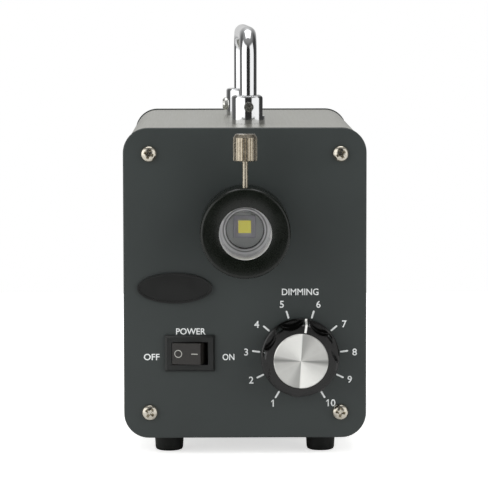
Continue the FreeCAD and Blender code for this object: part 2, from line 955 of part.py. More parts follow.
def build_handle_bow():
    """The bent rod, upright, turning about the line through its two drilled ends."""
    body = new_body("handle_bow", d.handle_offset, handle_y, shell_top + d.pivot_height)
    skew(body)
    half = d.handle_span / 2
    top = d.handle_height - d.handle_rod_radius - d.pivot_height
    bend = d.handle_bend_radius
    path = new_sketch(body, plane="YZ_Plane")
    add_path(
        path,
        [
            (-half, 0),
            (-half, top - bend),
            (bend - half, top),
            (half - bend, top),
            (half, top - bend),
            (half, 0),
        ],
        {1: (bend, -1), 3: (bend, -1)},
        closed=False,
    )
    profile = new_sketch(body)
    add_circle(profile, d.handle_rod_radius, 0, -half)
    pipe = body.newObject("PartDesign::AdditivePipe", "handle_bow_pipe")
    pipe.Profile = profile
    pipe.Spine = (path, [f"Edge{number}" for number in range(1, 6)])
    finish_feature(body, pipe)
    for sign in (-1, 1):
        knuckle = new_sketch(body, sign * half, plane="XZ_Plane")
        add_circle(knuckle, d.handle_rod_radius)
        pad(body, knuckle, 2 * d.handle_rod_radius, middle=True)
    pivot = new_sketch(body, plane="XZ_Plane")
    add_circle(pivot, d.pivot_radius + d.running_gap)
    cut(body, pivot, d.handle_span + 2 * d.post_radius, middle=True)


def build_handle_posts():
    """Two turned posts, each slotted from the middle to the right so that the bow folds."""
    floor = d.pivot_height - slot_half
    stud = d.wall_thickness + d.post_washer_thickness + d.post_nut_height + d.screw_tail
    for label, sign in (("handle_post_front", -1), ("handle_post_rear", 1)):
        x, y = post_place(sign)
        body = new_body(label, x, y, shell_top)
        skew(body)
        edge = d.post_edge
        revolve(
            body,
            [
                (0, 0),
                (d.post_radius, 0),
                (d.post_radius, d.post_height - edge),
                (d.post_radius - edge * ROUND_SHARE, d.post_height - edge * ROUND_SHARE),
                (d.post_radius - edge, d.post_height),
                (0, d.post_height),
            ],
        )
        foot = new_sketch(body)
        add_disc(foot, d.post_stud_radius, BORE_SIDES)
        pad(body, foot, stud, down=True)
        slot = new_sketch(body, d.post_height)
        right = d.post_radius + d.overrun
        add_path(
            slot,
            [(-slot_half, -slot_half), (right, -slot_half), (right, slot_half), (-slot_half, slot_half)],
        )
        cut(body, slot, d.post_height - floor)
        pivot = new_sketch(body, plane="XZ_Plane")
        add_circle(pivot, d.pivot_radius + d.seat_gap, 0, d.pivot_height)
        cut(body, pivot, 2 * d.post_radius + d.overrun, middle=True)
        if sign > 0:
            spot = new_sketch(body, d.lock_spot_depth - d.post_radius, plane="YZ_Plane")
            add_disc(spot, d.lock_head_radius + d.hole_gap, HEAD_SIDES, 0, d.lock_screw_height)
            cut(body, spot, d.post_radius)
            bore = new_sketch(body, plane="YZ_Plane")
            add_bore(bore, d.lock_screw_radius + d.seat_gap, 0, d.lock_screw_height)
            cut(body, bore, d.post_radius)


def build_handle_fasteners():
    for label, sign in (("handle_pivot_front", -1), ("handle_pivot_rear", 1)):
        x, y = post_place(sign)
        body = new_body(label, x, y, shell_top + d.pivot_height)
        skew(body)
        outer = d.post_radius + d.pivot_head_proud
        pin = new_sketch(body, -sign * outer, plane="XZ_Plane")
        add_circle(pin, d.pivot_radius)
        pad(body, pin, d.post_radius + outer, down=sign < 0)
        socket = new_sketch(body, -sign * outer, plane="XZ_Plane")
        add_polygon(socket, HEX_SIDES, d.pivot_socket_flats)
        cut(body, socket, d.pivot_socket_depth, up=sign > 0)
    x, y = post_place(1)
    lock = new_body("handle_lock_screw", x, y, shell_top + d.lock_screw_height)
    skew(lock)
    seat = d.post_radius - d.lock_spot_depth
    head = new_sketch(lock, -seat, plane="YZ_Plane")
    add_disc(head, d.lock_head_radius, HEAD_SIDES)
    pad(lock, head, d.lock_head_height, down=True)
    far = -number_of(seat + d.lock_head_height)
    chamfer(
        lock, d.lock_head_height * HEAD_BEVEL, lambda edge: abs(edge.BoundBox.XMax - far) < NEAR
    )
    shank = new_sketch(lock, -seat, plane="YZ_Plane")
    add_disc(shank, d.lock_screw_radius, BORE_SIDES)
    pad(lock, shank, seat - slot_half - d.running_gap)
    for label, level, height in (
        ("handle_washers", d.wall_thickness, d.post_washer_thickness),
        ("handle_nuts", d.wall_thickness + d.post_washer_thickness, d.post_nut_height),
    ):
        body = new_body(label, 0, 0, shell_top - level)
        for sign in (-1, 1):
            x, y = post_place(sign)
            if label == "handle_nuts":
                nut(body, d.post_nut_flats, height, d.post_stud_radius, x, y, up=False)
            else:
                sketch = new_sketch(body)
                add_disc(sketch, d.post_washer_radius, HEAD_SIDES, x, y)
                add_bore(sketch, d.post_stud_radius + d.hole_gap, x, y)
                pad(body, sketch, height, down=True)


# Light port

COLLAR_SCREW_ANGLES = (30, 150, 270)
SPACER_ANGLES = (90, 210, 330)
lip_front = d.port_reach - d.sleeve_lip_depth
lip_back = lip_front - d.sleeve_lip_thickness
flange_front = -d.plate_thickness
flange_back = flange_front - d.sleeve_flange_thickness
sink_front = flange_back - d.spacer_length
lens_back = lip_back - d.lens_rim_thickness
thumb_hole = d.thumb_rod_radius + d.running_gap


def ring_places(radius, angles):
    return [
        (radius * math.cos(math.radians(angle)), radius * math.sin(math.radians(angle)))
        for angle in angles
    ]


def port_body(label):
    return new_body(label, 0, front_y, port_z, "front")


def radial_hole(body, radius):
    """Drills straight up from the axis, where the thumb screw comes in."""
    sketch = new_sketch(body, plane="XZ_Plane")
    add_bore(sketch, radius, 0, d.thumb_set_forward)
    cut(body, sketch, d.collar_radius + d.overrun)


def build_port_collar():
    body = port_body("port_collar")
    bore = d.sleeve_radius + d.seat_gap
    edge = d.collar_edge
    revolve(
        body,
        [
            (bore, 0),
            (d.collar_radius, 0),
            (d.collar_radius, d.port_reach - edge),
            (d.collar_radius - edge * ROUND_SHARE, d.port_reach - edge * ROUND_SHARE),
            (d.collar_radius - edge, d.port_reach),
            (bore, d.port_reach),
        ],
    )
    taps = new_sketch(body)
    for x, y in ring_places(d.collar_screw_circle, COLLAR_SCREW_ANGLES):
        add_bore(taps, d.collar_screw_radius + d.seat_gap, x, y)
    cut(body, taps, d.collar_screw_length - d.plate_thickness, up=True)
    radial_hole(body, thumb_hole)


def build_port_sleeve():
    """The bright liner of the port, with a lip that the lens seats behind and a rear flange."""
    body = port_body("port_sleeve")
    mouth = d.port_reach - d.sleeve_recess
    flare = (d.sleeve_radius - d.sleeve_bore_radius) / 2
    seat = d.lens_radius + d.running_gap
    revolve(
        body,
        [
            (d.sleeve_bore_radius, lip_front),
            (d.sleeve_bore_radius, mouth - flare),
            (d.sleeve_bore_radius + flare, mouth),
            (d.sleeve_radius, mouth),
            (d.sleeve_radius, flange_front),
            (d.sleeve_flange_radius, flange_front),
            (d.sleeve_flange_radius, flange_back),
            (seat, flange_back),
            (seat, lip_back),
            (d.sleeve_lip_radius, lip_back),
            (d.sleeve_lip_radius, lip_front),
        ],
    )
    holes = new_sketch(body, flange_front)
    for x, y in ring_places(d.collar_screw_circle, COLLAR_SCREW_ANGLES):
        add_bore(holes, d.collar_screw_radius + d.hole_gap, x, y)
    for x, y in ring_places(d.spacer_circle, SPACER_ANGLES):
        add_bore(holes, d.sink_screw_radius + d.hole_gap, x, y)
    cut(body, holes, d.sleeve_flange_thickness)
    sinks = new_sketch(body, flange_front)
    for x, y in ring_places(d.spacer_circle, SPACER_ANGLES):
        add_bore(sinks, d.sink_screw_head_radius + d.seat_gap, x, y)
    cut(body, sinks, d.sink_screw_head_height)
    radial_hole(body, thumb_hole)


def build_port_fasteners():
    collar = port_body("collar_screws")
    x, y = ring_places(d.collar_screw_circle, COLLAR_SCREW_ANGLES)[0]
    head = new_sketch(collar, flange_back)
    add_disc(head, d.collar_screw_head_radius, HEAD_SIDES, x, y)
    pad(collar, head, d.collar_screw_head_height, down=True)
    shank = new_sketch(collar, flange_back)
    add_disc(shank, d.collar_screw_radius, BORE_SIDES, x, y)
    pad(collar, shank, d.collar_screw_length)
    round_pattern(collar, THREE)
    sink = port_body("heat_sink_screws")
    x, y = ring_places(d.spacer_circle, SPACER_ANGLES)[0]
    head = new_sketch(sink, flange_front)
    add_disc(head, d.sink_screw_head_radius, HEAD_SIDES, 0, y)
    pad(sink, head, d.sink_screw_head_height, down=True)
    shank = new_sketch(sink, flange_front)
    add_disc(shank, d.sink_screw_radius, BORE_SIDES, 0, y)
    pad(
        sink,
        shank,
        d.sleeve_flange_thickness + d.spacer_length + d.sink_base_thickness,
        down=True,
    )
    round_pattern(sink, THREE)
    spacers = port_body("heat_sink_spacers")
    tube = new_sketch(spacers, flange_back)
    add_polygon(tube, HEX_SIDES, d.spacer_flats, 0, y)
    add_bore(tube, d.sink_screw_radius + d.hole_gap, 0, y)
    pad(spacers, tube, d.spacer_length, down=True)
    round_pattern(spacers, THREE)


def build_lens():
    """A condenser lens, flat towards the lamp and crowned towards the light guide."""
    body = port_body("condenser_lens")
    crown_radius = d.lens_radius - d.lens_rim_width
    crown = []
    for step in range(LENS_STEPS, -1, -1):
        share = step / LENS_STEPS
        crown.append((crown_radius * share, lip_back + d.lens_crown * (1 - share ** 2)))
    crown[-1] = (0, crown[-1][1])
    revolve(
        body,
        [
            (0, lens_back),
            (d.lens_radius, lens_back),
            (d.lens_radius, lip_back),
            *crown,
        ],
    )
    ring = port_body("lens_ring")
    inner = d.lens_radius - d.lens_ring_width
    low = lens_back - d.lens_ring_thickness
    revolve(
        ring,
        [(inner, low), (d.lens_radius, low), (d.lens_radius, lens_back), (inner, lens_back)],
    )
    notch = new_sketch(ring, low)
    add_box(notch, 2 * d.lens_radius + d.overrun, d.spanner_notch)
    cut(ring, notch, d.lens_ring_thickness / 2, up=True)


def build_thumb_screw():
    """A knurled thumb screw that comes down through the collar, with a soft swivelling tip."""
    axis_y = front_y - d.thumb_set_forward
    head_z = port_z + d.collar_radius + d.thumb_rod_shown
    tip_z = port_z + d.sleeve_bore_radius + d.tip_set_back
    rod_end_z = tip_z + d.tip_length + d.seat_gap
    body = new_body("thumb_screw", 0, axis_y, head_z)
    rod = head_z - rod_end_z
    crown = d.thumb_head_height - d.thumb_head_crown
    socket = d.tip_stem_radius + d.running_gap
    socket_top = -rod + d.tip_stem_length + d.running_gap
    revolve(
        body,
        [
            (socket, -rod),
            (d.thumb_rod_radius, -rod),
            (d.thumb_rod_radius, 0),
            (d.thumb_head_radius - d.knurl_depth, 0),
            (d.thumb_head_radius, d.knurl_depth),
            (d.thumb_head_radius, crown),
            (d.thumb_head_radius - d.thumb_head_crown_inset, d.thumb_head_height),
            (0, d.thumb_head_height),
            (0, socket_top),
            (socket, socket_top),
        ],
    )
    groove = new_sketch(body, crown)
    half_angle = math.pi / KNURL_COUNT * KNURL_SHARE
    outer = d.thumb_head_radius + d.knurl_depth
    root = d.thumb_head_radius - d.knurl_depth
    add_path(
        groove,
        [
            (root, 0),
            (outer * math.cos(half_angle), outer * math.sin(half_angle)),
            (outer * math.cos(half_angle), -outer * math.sin(half_angle)),
        ],
    )
    first = cut(body, groove, crown)
    round_pattern(body, KNURL_COUNT, [first])
    tip = new_body("thumb_screw_tip", 0, axis_y, tip_z)
    stem_top = d.tip_length + d.tip_stem_length
    revolve(
        tip,
        [
            (0, 0),
            (d.tip_radius, 0),
            (d.tip_radius, d.tip_length),
            (d.tip_stem_radius, d.tip_length),
            (d.tip_stem_radius, stem_top),
            (0, stem_top),
        ],
    )


def build_lamp():
    sink_back = sink_front - d.sink_base_thickness
    body = port_body("heat_sink")
    base = new_sketch(body, sink_front)
    add_box(base, d.sink_width, d.sink_width)
    for x, y in ring_places(d.spacer_circle, SPACER_ANGLES):
        add_bore(base, d.sink_screw_radius + d.seat_gap, x, y)
    pad(body, base, d.sink_base_thickness, down=True)
    pitch = (d.sink_width - d.sink_fin_thickness) / (FIN_COUNT - 1)
    fins = new_sketch(body, sink_back)
    for index in range(FIN_COUNT):
        x = d.sink_fin_thickness / 2 - d.sink_width / 2 + index * pitch
        add_box(fins, d.sink_fin_thickness, d.sink_width, x)
    pad(body, fins, d.sink_fin_length, down=True)
    board = port_body("led_board")
    star = new_sketch(board, sink_front)
    add_polygon(star, HEX_SIDES, d.led_board_flats)
    pad(board, star, d.led_board_thickness)
    package = port_body("led_package")
    square = new_sketch(package, sink_front + d.led_board_thickness)
    add_box(square, d.led_package_width, d.led_package_width)
    pad(package, square, d.led_package_height)
    chip = port_body("led_phosphor")
    square = new_sketch(chip, sink_front + d.led_board_thickness + d.led_package_height)
    add_box(square, d.led_chip_width, d.led_chip_width)
    pad(chip, square, d.led_chip_height)


# Badge

def ellipse_block(label, half_length, half_width, height, level):
    edge = doc.addObject("Part::Ellipse", label + "_edge")
    bind(edge, "MajorRadius", half_length)
    bind(edge, "MinorRadius", half_width)
    bind(edge, ".Placement.Base.z", level)
    block = doc.addObject("Part::Extrusion", label + "_block")
    block.Base = edge
    block.DirMode = "Custom"
    block.Dir = Vector(0, 0, 1)
    bind(block, "LengthFwd", height)
    block.Solid = True
    return block


def build_badge():
    """An oval plate with a raised rim and a bare face."""
    outer = ellipse_block(
        "badge_outer", d.badge_half_length, d.badge_half_width, d.badge_thickness, 0
    )
    inner = ellipse_block(
        "badge_inner",
        d.badge_half_length - d.badge_rim,
        d.badge_half_width - d.badge_rim,
        d.badge_thickness,
        d.badge_thickness - d.badge_recess,
    )
    badge = doc.addObject("Part::Cut", "badge_plate")
    badge.Label = "badge_plate"
    badge.Base = outer
    badge.Tool = inner
    put(badge, badge_x, front_y, badge_z, "front")
    SUBPARTS.append(badge)


# Rocker switch

pivot_level = d.bezel_thickness - d.rocker_pivot_depth


def build_rocker_switch():
    """A snap-in rocker switch, its button resting with the left end in."""
    body = new_body("rocker_housing", rocker_x, front_y, rocker_z, "front")
    bezel = new_sketch(body)
    add_box(bezel, d.bezel_width, d.bezel_height)
    pad(body, bezel, d.bezel_thickness)
    half_w = number_of(d.bezel_width / 2)
    half_h = number_of(d.bezel_height / 2)
    chamfer(
        body,
        d.bezel_bevel,
        flat_at(d.bezel_thickness.value, half_w - NEAR, half_h - NEAR),
    )
    block = new_sketch(body)
    add_box(block, d.switch_width, d.switch_height)
    pad(body, block, d.switch_depth, down=True)
    for across in (-1, 1):
        snap = new_sketch(body, plane="XZ_Plane")
        side = d.switch_width / 2
        top = -d.plate_thickness - d.seat_gap
        inner = side - d.snap_rise
        add_path(
            snap,
            [
                (across * inner, top),
                (across * (side + d.snap_rise), top),
                (across * side, top - d.snap_length),
                (across * inner, top - d.snap_length),
            ],
        )
        pad(body, snap, d.snap_width, middle=True)
    mouth = new_sketch(body, d.bezel_thickness)
    add_box(mouth, d.switch_mouth_width, d.switch_mouth_height)
    cut(body, mouth, d.switch_mouth_depth)
    socket = new_sketch(body, plane="XZ_Plane")
    add_circle(socket, d.trunnion_radius + d.running_gap, 0, pivot_level)
    reach = d.switch_mouth_height / 2 + d.trunnion_length
    cut(body, socket, 2 * reach, middle=True)

    button = new_body("rocker_button", rocker_x, front_y - pivot_level, rocker_z, "front")
    side = new_sketch(button, plane="XZ_Plane")
    side.AttachmentOffset = FreeCAD.Placement(
        Vector(0, 0, 0), FreeCAD.Rotation(Vector(0, 0, 1), d.rocker_throw.value)
    )
    bind(side, ".AttachmentOffset.Rotation.Angle", d.rocker_throw)
    face = d.rocker_face_width / 2
    waist = d.rocker_waist_width / 2
    foot = d.rocker_foot_width / 2
    add_path(
        side,
        [
            (-foot, -d.rocker_foot_reach),
            (foot, -d.rocker_foot_reach),
            (waist, d.rocker_waist_reach),
            (face, d.rocker_face_reach),
            (-face, d.rocker_face_reach),
            (-waist, d.rocker_waist_reach),
        ],
    )
    pad(button, side, d.rocker_body_height, middle=True)
    half_height = number_of(d.rocker_body_height / 2)

    def face_rim(edge):
        box = edge.BoundBox
        raised = box.ZMin > number_of(d.rocker_face_reach) / 2
        on_side = box.YLength < NEAR and abs(abs(box.YMax) - half_height) < NEAR
        return raised and (on_side or box.YLength > half_height)

    fillet(button, d.rocker_edge_radius, face_rim)
    pin = new_sketch(button, plane="XZ_Plane")
    add_circle(pin, d.trunnion_radius)
    pad(button, pin, 2 * reach - 2 * d.running_gap, middle=True)

    terminals = new_body("rocker_terminals", rocker_x, front_y, rocker_z, "front")
    tabs = new_sketch(terminals, -d.switch_depth)
    for across in (-1, 1):
        add_box(tabs, d.blade_thickness, d.blade_width, across * d.blade_spacing / 2)
    pad(terminals, tabs, d.blade_length, down=True)


# Dimmer

def dimmer_body(label, turned=False):
    body = new_body(label, knob_x, front_y, knob_z, "front")
    if turned:
        about_axis = FreeCAD.Rotation(Vector(0, 0, 1), d.pointer_angle.value)
        place = body.Placement
        place.Rotation = FACING["front"] * about_axis
        body.Placement = place
        bind(body, ".Placement.Base.x", knob_x)
        bind(body, ".Placement.Base.y", front_y)
        bind(body, ".Placement.Base.z", knob_z)
    return body


def knob_surface():
    """The knob's outer line from the skirt to the face, in radius and height."""
    skirt_top = d.knob_lift + d.knob_skirt_height
    return [
        (d.knob_skirt_radius, skirt_top),
        (d.knob_base_radius, skirt_top + d.knob_step),
        (d.knob_top_radius, d.knob_face_reach - d.knob_bevel),
        (d.knob_top_radius - d.knob_bevel, d.knob_face_reach),
    ]


def build_knob():
    """The moulded knob: skirt, scalloped grip, hollow underside and a boss for the shaft."""
    body = dimmer_body("dimmer_knob", turned=True)
    bore = d.shaft_radius + d.seat_gap
    bore_top = d.knob_face_reach - d.cap_recess - d.knob_roof
    cavity_top = d.knob_lift + d.knob_cavity_depth
    cap_seat = d.cap_radius + d.running_gap
    revolve(
        body,
        [
            (bore, d.knob_boss_lift),
            (d.knob_boss_radius, d.knob_boss_lift),
            (d.knob_boss_radius, cavity_top),
            (d.knob_cavity_radius, cavity_top),
            (d.knob_cavity_radius, d.knob_lift),
            (d.knob_skirt_radius, d.knob_lift),
            *knob_surface(),
            (cap_seat, d.knob_face_reach),
            (cap_seat, d.knob_face_reach - d.cap_recess),
            (0, d.knob_face_reach - d.cap_recess),
            (0, bore_top),
            (bore, bore_top),
        ],
    )
    step_level = d.knob_lift + d.knob_skirt_height + d.knob_step
    distance = d.knob_top_radius + d.scallop_radius - d.scallop_depth
    half_step = math.pi / SCALLOP_COUNT
    scallop = new_sketch(body, d.knob_face_reach + d.overrun)
    add_circle(
        scallop,
        d.scallop_radius,
        distance * math.cos(half_step),
        distance * math.sin(half_step),
    )
    first = cut(body, scallop, d.knob_face_reach + d.overrun - step_level)
    round_pattern(body, SCALLOP_COUNT, [first])
    slot = new_sketch(body, plane="XZ_Plane")
    add_path(slot, pointer_outline(d.overrun))
    cut(body, slot, d.pointer_width + 2 * d.seat_gap, middle=True)
    access = new_sketch(body, plane="YZ_Plane")
    add_circle(access, d.set_screw_radius + d.seat_gap, 0, d.set_screw_height)
    cut(body, access, d.knob_skirt_radius + d.overrun)


def pointer_outline(proud):
    """The pointer's strip, let into the knob's surface from the cap to the skirt."""
    skirt, base, top, face = knob_surface()
    depth = d.pointer_depth
    inner_end = d.cap_radius + d.pointer_depth
    outline = [
        (inner_end, face[1] - depth),
        (face[0] - depth, face[1] - depth),
        (top[0] - depth, top[1] - depth),
        (base[0] - depth, base[1] - depth),
        (skirt[0] - depth, base[1] - depth),
        (skirt[0] - depth, skirt[1] - depth),
    ]
    if isinstance(proud, Size):
        outline += [
            (skirt[0] + proud, skirt[1] - depth),
            (skirt[0] + proud, face[1] + proud),
            (inner_end, face[1] + proud),
        ]
    else:
        outline += [
            (skirt[0], skirt[1] - depth),
            (skirt[0], skirt[1]),
            base,
            top,
            face,
            (inner_end, face[1]),
        ]
    return outline


def build_knob_trim():
    cap = dimmer_body("knob_cap")
    low = d.knob_face_reach - d.cap_recess
    high = low + d.cap_thickness
    revolve(
        cap,
        [
            (0, low),
            (d.cap_radius, low),
            (d.cap_radius, high - d.cap_bevel),
            (d.cap_radius - d.cap_bevel, high),
            (0, high),
        ],
    )
    pointer = dimmer_body("knob_pointer", turned=True)
    strip = new_sketch(pointer, plane="XZ_Plane")
    add_path(strip, pointer_outline(0))
    pad(pointer, strip, d.pointer_width, middle=True)
    grub = dimmer_body("knob_set_screw", turned=True)
    start = d.shaft_radius + 2 * d.seat_gap
    rod = new_sketch(grub, -start, plane="YZ_Plane")
    add_circle(rod, d.set_screw_radius, 0, d.set_screw_height)
    pad(grub, rod, d.knob_boss_radius - start, down=True)


def build_potentiometer():
    body = dimmer_body("potentiometer")
    back = -d.plate_thickness
    bore_floor = back - d.pot_bore_depth
    bore = d.shaft_radius + d.running_gap
    revolve(
        body,
        [
            (bore, bore_floor),
            (0, bore_floor),
            (0, back - d.pot_depth),
            (d.pot_radius, back - d.pot_depth),
            (d.pot_radius, back),
            (d.pot_bushing_radius, back),
            (d.pot_bushing_radius, d.pot_bushing_length),
            (bore, d.pot_bushing_length),
        ],
    )
    wafer_level = back - d.pot_wafer_set_back
    wafer = new_sketch(body, wafer_level)
    half = d.pot_wafer_width / 2
    inner = -(d.pot_bushing_radius + d.overrun)
    add_path(
        wafer,
        [
            (-half, -d.pot_wafer_drop),
            (half, -d.pot_wafer_drop),
            (half, inner),
            (-half, inner),
        ],
    )
    pad(body, wafer, d.pot_wafer_thickness, down=True)
    lugs = dimmer_body("potentiometer_lugs")
    row = new_sketch(lugs, wafer_level - d.pot_wafer_thickness / 2 + d.pot_lug_thickness / 2)
    for index in (-1, 0, 1):
        add_box(
            row,
            d.pot_lug_width,
            d.pot_lug_length,
            index * d.pot_lug_spacing,
            -d.pot_wafer_drop - d.pot_lug_length / 2,
        )
    pad(lugs, row, d.pot_lug_thickness, down=True)
    washer = dimmer_body("potentiometer_washer")
    ring = new_sketch(washer)
    add_disc(ring, d.pot_washer_radius, HEAD_SIDES)
    add_bore(ring, d.pot_bushing_radius + d.running_gap)
    pad(washer, ring, d.pot_washer_thickness)
    lock_nut = dimmer_body("potentiometer_nut")
    nut(
        lock_nut,
        d.pot_nut_flats,
        d.pot_nut_height,
        d.pot_bushing_radius,
        level=d.pot_washer_thickness,
    )
    shaft = dimmer_body("potentiometer_shaft", turned=True)
    start = bore_floor + d.running_gap
    rod = new_sketch(shaft, start)
    add_circle(rod, d.shaft_radius)
    pad(shaft, rod, d.shaft_length - start)
    flat = new_sketch(shaft, d.shaft_length)
    edge = d.shaft_radius - d.shaft_flat
    far = d.shaft_radius + d.overrun
    add_path(flat, [(edge, -far), (far, -far), (far, far), (edge, far)])
    cut(shaft, flat, d.shaft_flat_length)


# Fan

def fan_body(label):
    return new_body(label, 0, back_y, port_z, "back")


fan_front = -d.plate_thickness
fan_back = fan_front - d.fan_thickness
hub_inner = fan_front - d.fan_hub_thickness


def build_fan_frame():
    """The fan's square frame, with its motor hub held on four struts."""
    body = fan_body("fan_frame")
    square = new_sketch(body, fan_front)
    add_rounded(square, d.fan_width, d.fan_width, d.fan_corner_radius)
    add_circle(square, d.fan_bore_radius)
    half = d.fan_hole_spacing / 2
    for across in (-1, 1):
        for up in (-1, 1):
            add_bore(square, d.fan_hole_radius, across * half, up * half)
    pad(body, square, d.fan_thickness, down=True)
    struts = new_sketch(body, fan_front)
    add_box(struts, 2 * (d.fan_bore_radius + d.overrun), d.fan_strut_width)
    pad(body, struts, d.fan_hub_thickness, down=True)
    struts = new_sketch(body, fan_front)
    add_box(struts, d.fan_strut_width, 2 * (d.fan_bore_radius + d.overrun))
    pad(body, struts, d.fan_hub_thickness, down=True)
    hub = new_sketch(body, fan_front)
    add_circle(hub, d.fan_hub_radius)
    pad(body, hub, d.fan_hub_thickness, down=True)
    core = new_sketch(body, hub_inner)
    add_disc(core, d.fan_core_radius, RING_SIDES)
    pad(body, core, d.fan_core_length, down=True)
    bearing = new_sketch(body, hub_inner - d.fan_core_length)
    add_bore(bearing, d.rotor_shaft_radius + d.running_gap)
    cut(body, bearing, d.fan_core_length + d.fan_hub_thickness / 2, up=True)


def build_fan_rotor():
    """The rotor: a cup over the motor, its shaft, and swept blades of falling pitch."""
    body = fan_body("fan_rotor")
    rim = hub_inner - d.rotor_gap
    end = rim - d.rotor_length
    inner_end = end + d.rotor_wall
    shaft_end = fan_front - d.fan_hub_thickness / 2 - d.running_gap
    revolve(
        body,
        [
            (0, end),
            (d.rotor_radius, end),
            (d.rotor_radius, rim),
            (d.rotor_radius - d.rotor_wall, rim),
            (d.rotor_radius - d.rotor_wall, inner_end),
            (d.rotor_shaft_radius, inner_end),
            (d.rotor_shaft_radius, shaft_end),
            (0, shaft_end),
        ],
    )
    mid_level = (rim + end) / 2
    root = d.rotor_radius - d.rotor_wall / 2
    sections = []
    for reach, chord in ((root, d.blade_root_chord), (d.blade_tip_radius, d.blade_tip_chord)):
        section = new_sketch(body, reach, plane="YZ_Plane")
        section.AttachmentOffset = FreeCAD.Placement(
            Vector(0, 0, 0), FreeCAD.Rotation(Vector(0, 0, 1), d.blade_pitch.value)
        )
        bind(section, ".AttachmentOffset.Base.z", reach)
        bind(section, ".AttachmentOffset.Base.y", mid_level)
        bind(section, ".AttachmentOffset.Rotation.Angle", d.blade_pitch)
        add_box(section, chord, d.blade_skin)
        sections.append(section)
    blade = body.newObject("PartDesign::AdditiveLoft", "fan_rotor_blade")
    blade.Profile = sections[0]
    blade.Sections = [sections[1]]
    blade.Ruled = True
    finish_feature(body, blade)
    round_pattern(body, BLADE_COUNT, [blade])


def build_fan_guard():
    """A finger guard: rings on four spokes that end in eyes round the screws."""
    body = fan_body("fan_guard")
    half_wire = d.guard_wire / 2
    eye_reach = d.fan_hole_spacing * DIAGONAL
    step = (d.guard_outer_radius - d.guard_inner_radius) / (GUARD_RING_COUNT - 1)
    for angle in (45, 135, 225, 315):
        across = math.cos(math.radians(angle))
        up = math.sin(math.radians(angle))
        spoke = new_sketch(body)
        corners = []
        for along, aside in (
            (d.guard_inner_radius, -half_wire),
            (eye_reach, -half_wire),
            (eye_reach, half_wire),
            (d.guard_inner_radius, half_wire),
        ):
            corners.append((along * across - aside * up, along * up + aside * across))
        add_path(spoke, corners)
        pad(body, spoke, d.guard_wire)
        eye = new_sketch(body)
        add_disc(eye, d.guard_eye_radius, HEAD_SIDES, eye_reach * across, eye_reach * up)
        pad(body, eye, d.guard_wire)
    for index in range(GUARD_RING_COUNT):
        radius = d.guard_inner_radius + index * step
        ring = new_sketch(body)
        add_disc(ring, radius + half_wire, RING_SIDES)
        add_disc(ring, radius - half_wire, RING_SIDES)
        pad(body, ring, d.guard_wire)
    holes = new_sketch(body)
    half = d.fan_hole_spacing / 2
    for across in (-1, 1):
        for up in (-1, 1):
            add_bore(holes, d.fan_hole_radius, across * half, up * half)
    cut(body, holes, d.guard_wire, up=True)


def build_fan_fasteners():
    half = d.fan_hole_spacing / 2
    length = d.guard_wire + d.plate_thickness + d.fan_thickness + d.fan_nut_height
    screws = new_body("fan_screws", 0, back_y + d.guard_wire, port_z, "back")
    pan_screw(
        screws,
        -half,
        -half,
        d.fan_screw_head_radius,
        d.fan_screw_head_height,
        d.fan_screw_radius,
        length + d.screw_tail,
    )
    row_pattern(screws, d.fan_hole_spacing, d.fan_hole_spacing)
    nuts = fan_body("fan_nuts")
    nut(
        nuts,
        d.fan_nut_flats,
        d.fan_nut_height,
        d.fan_screw_radius,
        -half,
        -half,
        level=fan_back,
        up=False,
    )
    row_pattern(nuts, d.fan_hole_spacing, d.fan_hole_spacing)


# Mains inlet

def inlet_body(label):
    return new_body(label, 0, back_y, inlet_z, "back")


socket_floor = d.inlet_flange_thickness - d.socket_depth


def pin_places():
    """The three contact blades: the middle one stands higher."""
    low = d.socket_rise - d.pin_rise / 2
    return [
        (-d.pin_spacing / 2, low),
        (d.pin_spacing / 2, low),
        (0, low + d.pin_rise),
    ]


